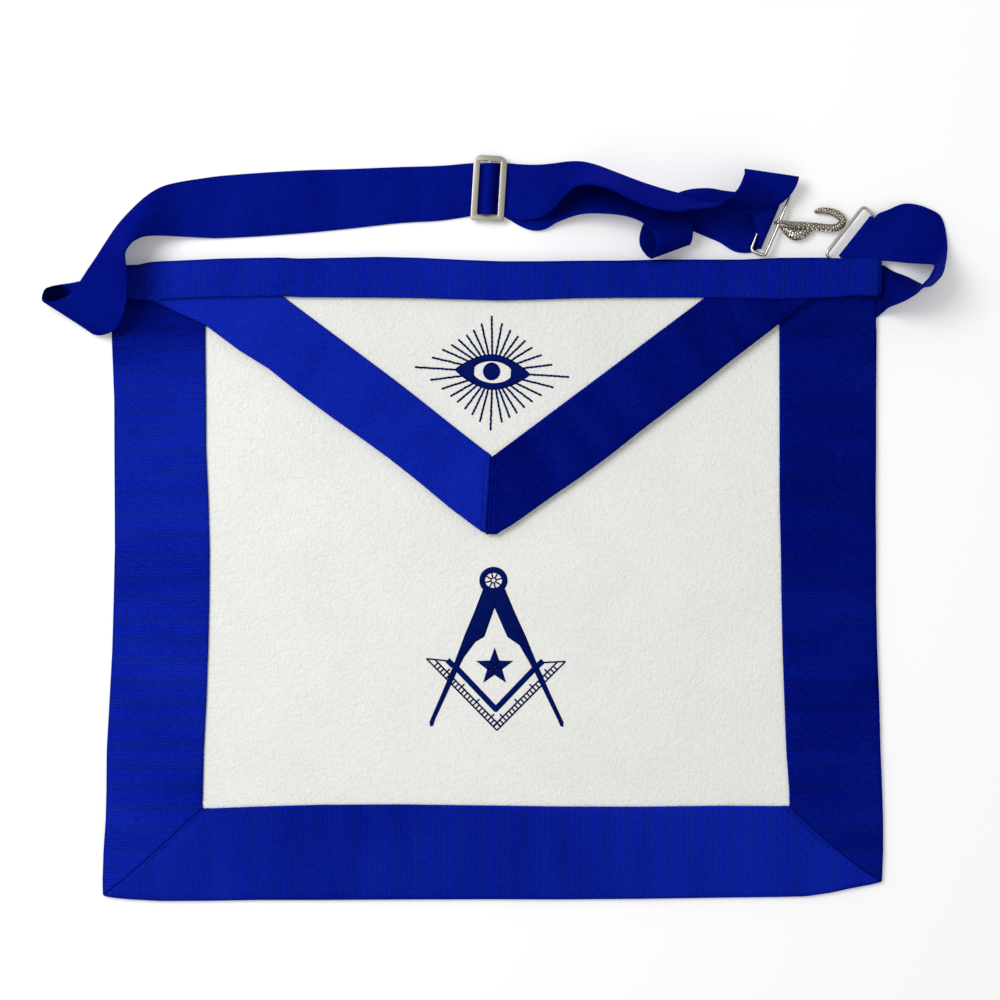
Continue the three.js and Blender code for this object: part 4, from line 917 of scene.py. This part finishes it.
def curveThrough(points, per):
    path = []
    for k in range(len(points) - 1):
        before = points[max(k - 1, 0)]
        first, second = points[k], points[k + 1]
        after = points[min(k + 2, len(points) - 1)]
        for j in range(per):
            t = j / per
            path.append(0.5 * (2 * first + (second - before) * t
                        + (2 * before - 5 * first + 4 * second - after) * t * t
                        + (3 * first - before - 3 * second + after) * t ** 3))
    path.append(points[-1])
    return path


# a scaled tube through rows of centre and radius, with beads along its lower side and a head from a
# step of its path on
def scaledBody(bm, rows, beads, headAt=math.inf):
    centres = [Vector((x * apron["wide"], y * apron["high"], z)) for x, y, z, _ in rows]
    path = curveThrough(centres, snake["per"])
    radii = [row[3] for row in rows]
    far = list(accumulate(((after - before).length for before, after in zip(path, path[1:])), initial=0))

    # overlapping scales, each row half a scale further round
    def raised(s, turn):
        ring = far[s] / snake["scale"]
        row = int(ring)
        along = ring - row
        across = abs(math.cos(math.pi * (turn * snake["scalesRound"] + 0.5 * (row % 2))))
        return across ** 0.7 * (1 - along) ** 0.5 * ease(along, 0, 0.12)

    def radiusAt(s):
        share = s / snake["per"]
        k = min(int(share), len(radii) - 2)
        return radii[k] + (radii[k + 1] - radii[k]) * (share - k)

    def size(s, turn):
        radius = radiusAt(s)
        end = min(s, len(path) - 1 - s)
        radius *= 0.35 + 0.65 * ease(end, -1, 8)
        radius += snake["relief"] * (raised(s, turn) - 0.8) * min(radius / 2, 1)
        head = ease(s, headAt, headAt + snake["neck"]) if s > headAt else 0
        return radius * (1 + 0.16 * head), radius * (1 - 0.12 * head)

    body = bmesh.new()
    # the scales are painted darker between them and lighter on top: painted shade and painted highlight
    tube(body, path, far, size, snake["around"], lambda s, t: 1.5 * (0.72 - raised(s, t / snake["around"])))
    first, last, pitch, radius = beads
    start, end = (min(round(row * snake["per"]), len(path) - 1) for row in (first, last))
    for k in range(int((far[end] - far[start]) / pitch)):
        s = min(range(start, end), key=lambda n: abs(far[n] - far[start] - k * pitch))
        spot = path[s] + Vector(snake["beadSide"]) * radiusAt(s)
        bmesh.ops.create_icosphere(body, subdivisions=2, radius=radius, matrix=Matrix.Translation(spot))
    held = bpy.data.meshes.new("held")
    body.to_mesh(held)
    body.free()
    bm.from_mesh(held)
    bpy.data.meshes.remove(held)


def snakePiece():
    bm = bmesh.new()
    rows, belly = snake["rows"], snake["belly"]
    scaledBody(bm, rows, snake["beads"], (len(rows) - 1) * snake["per"] - snake["head"])
    scaledBody(bm, belly, (0.5, len(belly) - 1, *snake["bellyBeads"]))
    finishPiece("snake_clasp", bm, agedNickel, ["snake_hook"])


snakePiece()
print("metal fittings made")


# satin stitch: a domed bar between two edges, given as rows of two points across it, on a surface
# whose height is ground(x, y)
def satinBar(bm, rows, height, ground, step=1.0):
    fine = []
    for first, second in zip(rows, rows[1:]):
        span = max(math.hypot(second[0] - first[0], second[1] - first[1]),
                   math.hypot(second[2] - first[2], second[3] - first[3]))
        count = max(1, math.ceil(span / step))
        fine += [[a + (b - a) * k / count for a, b in zip(first, second)] for k in range(count)]
    fine.append(rows[-1])
    far = [0]
    for before, after in zip(fine, fine[1:]):
        far.append(far[-1] + math.hypot((after[0] + after[2] - before[0] - before[2]) / 2,
                                        (after[1] + after[3] - before[1] - before[3]) / 2))
    half = 5

    def spot(s, t):
        ax, ay, bx, by = fine[s]
        t = t % (2 * half)
        share = t / half if t <= half else (2 * half - t) / half
        share = 0.5 - 0.5 * math.cos(math.pi * share)
        x, y = ax + (bx - ax) * share, ay + (by - ay) * share
        if t > half:
            return Vector((x, y, ground(x, y) - 0.05))
        end = min(far[s], far[-1] - far[s])
        tall = height * (0.3 + 0.7 * ease(end, -0.2, 0.7))
        tall *= min(1, math.hypot(bx - ax, by - ay) / 1.4 + 0.3)
        return Vector((x, y, ground(x, y) + tall * math.sqrt(max(4 * share * (1 - share), 0))))

    def cloth(s, t):
        return (far[s], (t if t <= half else 2 * half - t) / half * 2)

    # painted shade on thin bars and along each bar's edges
    def paintedShading(s, t):
        ax, ay, bx, by = fine[s]
        thin = 0.35 * (1 - ease(math.hypot(bx - ax, by - ay), 0.7, 2.0))
        return thin + (0.55 if t % half == 0 or t > half else 0)

    laidGrid(len(fine) - 1, 2 * half, spot, cloth, bm, paintedShading)


# a straight bar from start to end, narrowed at its end
def barRows(start, end, wide, endWide=None):
    start, end = Vector(start), Vector(end)
    across = Vector((-(end - start).y, (end - start).x)).normalized() / 2
    near = across * wide
    far = across * (wide if endWide is None else endWide)
    return [(*(start + near), *(start - near)), (*(end + far), *(end - far))]


# a chain of stitches along a line of points, every other one narrower by the given share
def chainRows(points, wide, twist=0):
    rows = []
    for k, point in enumerate(points):
        before, after = Vector(points[max(k - 1, 0)]), Vector(points[min(k + 1, len(points) - 1)])
        along = (after - before).normalized()
        across = Vector((-along.y, along.x)) * wide / 2 * (1 - twist * (k % 2))
        rows.append((*(Vector(point) + across), *(Vector(point) - across)))
    return rows


# welds the bars' seams and closes their ends
def sewnPiece(name, bm, material=navyThread):
    bmesh.ops.remove_doubles(bm, verts=bm.verts, dist=0.004)
    bmesh.ops.dissolve_degenerate(bm, edges=bm.edges, dist=0.003)
    rims = [edge for edge in bm.edges if edge.is_boundary]
    bmesh.ops.holes_fill(bm, edges=rims, sides=24)
    bmesh.ops.recalc_face_normals(bm, faces=bm.faces)
    finishPiece(name, bm, material)


# the rayed eye on the flap: an almond with an open middle, the iris, and rays outwards from the almond
eye = {
    "centre": (-0.5, 107.5), "turn": -3.8, "top": 4.25, "height": 0.55, "thread": 1.22,
    "half": 19.9, "tall": 9.3, "innerHalf": 9.5, "innerUp": 5.6, "innerDown": 5.7, "iris": 4.5, "wave": 0.2,
    # tips of the rays from the middle, in mm
    "rays": [(-0.4, 29.3), (5.0, 25.5), (9.4, 21.9), (13.4, 18.7), (17.2, 16.4), (20.7, 12.9), (25.6, 8.9),
             (31.1, 3.8), (39.9, -2.6), (31.8, -8.0), (25.6, -12.2), (20.9, -15.5), (16.8, -18.6),
             (12.8, -21.4), (9.0, -23.8), (4.9, -26.2), (-1.0, -30.4), (-6.6, -25.9), (-10.6, -22.3),
             (-14.5, -19.3), (-18.4, -15.7), (-21.9, -12.6), (-26.5, -8.8), (-32.4, -4.1), (-40.4, 2.6),
             (-31.5, 7.7), (-26.2, 11.8), (-21.4, 14.3), (-17.8, 17.0), (-13.6, 19.3), (-9.9, 22.0),
             (-5.7, 25.3)],
}


def almondEdge(across):
    share = min(abs(across) / eye["half"], 1)
    return eye["tall"] * (1 - share ** 1.75) ** 0.92


def innerEdge(across, tall):
    share = min(abs(across) / eye["innerHalf"], 1)
    return tall * (0.34 + 0.66 * (1 - share ** 2) ** 0.75)


def eyePiece():
    bm = bmesh.new()
    turn = math.radians(eye["turn"])
    cx, cy = eye["centre"]

    turned = Matrix.Rotation(turn, 2)

    def placed(rows):
        out = []
        for row in rows:
            a, b = turned @ Vector(row[:2]), turned @ Vector(row[2:])
            out.append((a.x + cx, a.y + cy, b.x + cx, b.y + cy))
        return out

    def ground(x, y):
        return eye["top"] + flapLift(x, y)

    half, inner = eye["half"], eye["innerHalf"]

    def upright(start, end, low, high, count):
        rows = []
        for k in range(count + 1):
            x = start + (end - start) * k / count
            rows.append((x, low(x), x, high(x)))
        return rows

    def bottom(x):
        return -almondEdge(x)

    corners = upright(-half, -inner, bottom, almondEdge, 10), upright(inner, half, bottom, almondEdge, 10)
    lids = (upright(-inner, inner, lambda x: innerEdge(x, eye["innerUp"]), almondEdge, 22),
            upright(-inner, inner, bottom, lambda x: -innerEdge(x, eye["innerDown"]), 22))
    for rows in (*corners, *lids):
        satinBar(bm, placed(rows), eye["height"], ground)
    disc = []
    for k in range(15):
        x = -eye["iris"] * math.cos(math.pi * k / 14) - 0.5
        y = eye["iris"] * math.sin(math.pi * k / 14) * 1.04
        disc.append((x, 0.3 - y, x, 0.3 + y))
    satinBar(bm, placed(disc), 0.8, ground)
    for k, tip in enumerate(eye["rays"]):
        end = Vector(tip)
        level = turned.transposed() @ end
        # the ray starts where it leaves the almond
        low, high = 0.0, 1.0
        for _ in range(20):
            middle = (low + high) / 2
            x, y = level.x * middle, level.y * middle
            outside = abs(x) >= half or abs(y) > almondEdge(x)
            low, high = (low, middle) if outside else (middle, high)
        start = end * (low - 0.3 / end.length)
        steps = max(4, round((end - start).length / 1.1))
        side = Vector((-end.y, end.x)).normalized() * eye["wave"]
        points = [start.lerp(end, j / steps) + side * noise.noise(Vector((k * 3.7, j * 1.9, 0)))
                  for j in range(steps + 1)]
        rows = chainRows([(point.x + cx, point.y + cy) for point in points], eye["thread"], 0.25)
        satinBar(bm, rows, 0.42, ground, step=0.55)
    sewnPiece("embroidered_eye", bm)


# the compasses over the square on the field, with a star between them; outer side first in each row
compasses = {
    "top": 1.52, "height": 0.6,
    "head": {"at": (0.0, -0.9), "round": 7.4, "open": 4.4, "petals": 8, "petalFrom": 1.35, "petalTo": 4.6},
    "left": [(-5.4, -5.2, 2.8, -6.4), (-10.0, -17.3, 0.6, -15.3), (-14.9, -28.9, -4.7, -30.3),
             (-16.9, -34.4, -9.2, -32.9), (-20.4, -43.6, -15.2, -40.8), (-22.0, -47.6, -17.7, -45.8),
             (-26.5, -58.6, -22.9, -57.2), (-33.4, -74.6, -30.4, -73.4), (-33.0, -77.0, -31.4, -76.6)],
    "right": [(6.0, -5.2, -1.8, -6.4), (11.4, -18.0, 0.6, -15.3), (17.3, -30.9, 7.2, -30.3),
              (19.6, -36.7, 13.5, -34.7), (22.9, -44.6, 18.1, -42.6), (25.6, -50.4, 21.4, -48.8),
              (29.4, -59.4, 25.9, -58.0), (36.6, -74.9, 33.6, -73.8), (36.4, -77.2, 34.8, -76.8)],
}


def fieldTopAt(x, y):
    return compasses["top"] + swell(x, y)


def fieldBar(bm, start, end, wide, height):
    satinBar(bm, barRows(start, end, wide), height, fieldTopAt)


def compassesPiece():
    bm = bmesh.new()
    tall = compasses["height"]
    for rows in (compasses["left"], compasses["right"]):
        satinBar(bm, rows, tall, fieldTopAt)
    head = compasses["head"]
    cx, cy = head["at"]
    rim = []
    for k in range(41):
        turn = 2 * math.pi * k / 40
        rim.append((cx + head["round"] * math.cos(turn), cy + head["round"] * math.sin(turn) * 0.96,
                    cx + head["open"] * math.cos(turn), cy + head["open"] * math.sin(turn) * 0.88))
    satinBar(bm, rim, tall * 1.15, fieldTopAt, step=1.3)
    near, reach = head["petalFrom"], head["petalTo"]
    for k in range(head["petals"]):
        turn = 2 * math.pi * (k + 0.3) / head["petals"]
        far = Vector((math.cos(turn), math.sin(turn)))
        middle = Vector((cx, cy))
        fieldBar(bm, middle + far * near, middle + far * reach, 0.78, 0.36)
    loop = [(cx + near * math.cos(2 * math.pi * k / 10), cy + near * math.sin(2 * math.pi * k / 10))
            for k in range(11)]
    satinBar(bm, chainRows(loop, 0.7), 0.34, fieldTopAt)
    sewnPiece("embroidered_compasses", bm)


# the square: a thick inner bar, and an outline with rungs between two rails
square = {
    "thick": 3.0, "thread": 0.85, "apart": 2.2, "depth": 2.8,
    "bar": [(-20.2, -45.5), (1.2, -68.0), (22.9, -45.3)],
    "outer": [(-34.9, -41.7), (1.8, -79.0), (37.5, -43.1)],
    "top": [((-34.9, -41.7), (-23.6, -42.8)), ((37.5, -43.1), (26.0, -43.7))],
    "blocks": [((-24.0, -42.4), (-20.9, -45.5)), ((25.8, -42.8), (22.8, -45.6))],
}


def squarePiece():
    bm = bmesh.new()
    left, vertex, right = [Vector(point) for point in square["bar"]]
    half = square["thick"] / 2
    for end in (left, right):
        fieldBar(bm, end, vertex + (vertex - end).normalized() * half * 0.6, square["thick"], 0.55)
    tipLeft, foot, tipRight = [Vector(point) for point in square["outer"]]
    thread = square["thread"]
    for tip, inwards in ((tipLeft, 1), (tipRight, -1)):
        along = (tip - foot).normalized()
        inside = Vector((along.y * inwards, -along.x * inwards))
        if inside.y < 0:
            inside = -inside
        depth = square["depth"]
        innerTip = tip - along * 3.6 + inside * depth
        fieldBar(bm, foot, tip, thread, 0.34)
        fieldBar(bm, foot + inside * depth, innerTip, thread, 0.34)
        count = int(((tip - foot).length - 5.5) / square["apart"])
        for k in range(1, count + 1):
            low = foot + along * (square["apart"] * (k + 0.2))
            reach = depth * (1.75 if k % 5 == 3 else 1)
            fieldBar(bm, low, low + inside * reach, thread, 0.3)
    for start, end in square["top"]:
        fieldBar(bm, start, end, thread, 0.34)
    for start, end in square["blocks"]:
        fieldBar(bm, start, end, square["thick"], 0.5)
    sewnPiece("embroidered_square", bm)


# a plain five-pointed star in the space between them
star = {"centre": (0.6, -46.0), "outer": 10.2, "inner": 4.2, "height": 0.6}


def starPiece():
    bm = bmesh.new()
    cx, cy = star["centre"]
    corners = []
    for k in range(10):
        turn = math.pi * (0.5 + k / 5)
        reach = star["outer"] if k % 2 == 0 else star["inner"]
        corners.append((cx + reach * math.cos(turn), cy + reach * math.sin(turn)))
    for k in range(0, 10, 2):
        tip = Vector(corners[k])
        before, after = Vector(corners[k - 1]), Vector(corners[(k + 1) % 10])
        middle = Vector((cx, cy))
        rows = [(*tip, *tip), (*before, *after), (*(before.lerp(middle, 0.96)), *(after.lerp(middle, 0.96)))]
        satinBar(bm, rows, star["height"], fieldTopAt, step=0.8)
    sewnPiece("embroidered_star", bm)


# seam stitches: along the band's end and lower edge, and across the short belt beside its ring
stitches = {
    # start and end in mm, height, distance between stitches, length and width of each, turned across
    "lines": [((199.6, 166.4), (199.9, 147.4), 6.82, 2.6, 1.7, 0.45, False),
              ((-170.8, 145.3), (-109.6, 147.0), 6.80, 1.9, 1.3, 0.40, True),
              ((-189.0, 145.4), (-173.4, 144.0), 3.30, 2.2, 1.6, 0.40, False),
              ((199.5, 186.1), (184.0, 167.0), 4.98, 2.5, 1.7, 0.45, False),
              ((201.6, 184.4), (186.4, 165.6), 4.86, 2.5, 1.7, 0.45, False)],
    "knot": (189.3, 147.2, 6.85),
}


def stitchesPiece():
    bm = bmesh.new()
    for start, end, height, pitch, long, wide, across in stitches["lines"]:
        start, end = Vector(start), Vector(end)
        along = (end - start).normalized()
        reach = (Vector((-along.y, along.x)) if across else along) * long / 2
        for k in range(int((end - start).length / pitch) + 1):
            spot = start + along * pitch * k
            satinBar(bm, barRows(spot - reach, spot + reach, wide), 0.22, lambda x, y: height, step=0.5)
    x, y, height = stitches["knot"]
    loop = [(x + 1.2 * math.cos(k * 0.9), y + 0.8 * math.sin(k * 0.9)) for k in range(8)]
    satinBar(bm, chainRows(loop, 0.5), 0.4, lambda x, y: height, step=0.4)
    sewnPiece("seam_stitches", bm, seamThread)


for makePiece in (eyePiece, compassesPiece, squarePiece, starPiece, stitchesPiece):
    makePiece()
print("embroidery stitched")

floor = bmesh.new()
bmesh.ops.create_grid(floor, x_segments=1, y_segments=1, size=3)
floorMesh = bpy.data.meshes.new("stage_floor")
floor.to_mesh(floorMesh)
floor.free()
stageFloor = bpy.data.objects.new("stage_floor", floorMesh)
bpy.context.scene.collection.objects.link(stageFloor)
floorMaterial, floorTree, floorShader = newMaterial("paleFloor")
setInputs(floorTree, floorShader, Base_Color=(0.93, 0.93, 0.93, 1), Roughness=0.8,
          Emission_Color=(1, 1, 1, 1), Emission_Strength=0.11)
floorMesh.materials.append(floorMaterial)

lights = {
    "key": {"at": (-0.85, 0.55, 1.25), "size": 0.8, "power": 14.5},
    "fill": {"at": (-0.2, -0.9, 1.4), "size": 1.2, "power": 2},
}
for name, light in lights.items():
    lamp = bpy.data.lights.new(name, "AREA")
    lamp.size = light["size"]
    lamp.energy = light["power"]
    holder = bpy.data.objects.new(name, lamp)
    holder.location = light["at"]
    holder.rotation_mode = "QUATERNION"
    holder.rotation_quaternion = (-Vector(light["at"])).to_track_quat("-Z", "Y")
    bpy.context.scene.collection.objects.link(holder)
world = bpy.data.worlds.new("studio")
world.use_nodes = True
world.node_tree.nodes["Background"].inputs["Color"].default_value = (1, 1, 1, 1)
world.node_tree.nodes["Background"].inputs["Strength"].default_value = 0.545
bpy.context.scene.world = world
bpy.context.scene.view_settings.view_transform = "Standard"

view = {"x": 3.4, "y": 41.0, "height": 1300, "wide": 521.7, "sensor": 36}
camera = bpy.data.cameras.new("camera")
camera.sensor_width = view["sensor"]
camera.lens = view["sensor"] * view["height"] / view["wide"]
camera.clip_start = 0.05
camera.clip_end = 20
cameraObject = bpy.data.objects.new("camera", camera)
cameraObject.location = (view["x"] * mm, view["y"] * mm, view["height"] * mm)
bpy.context.scene.collection.objects.link(cameraObject)
bpy.context.scene.camera = cameraObject
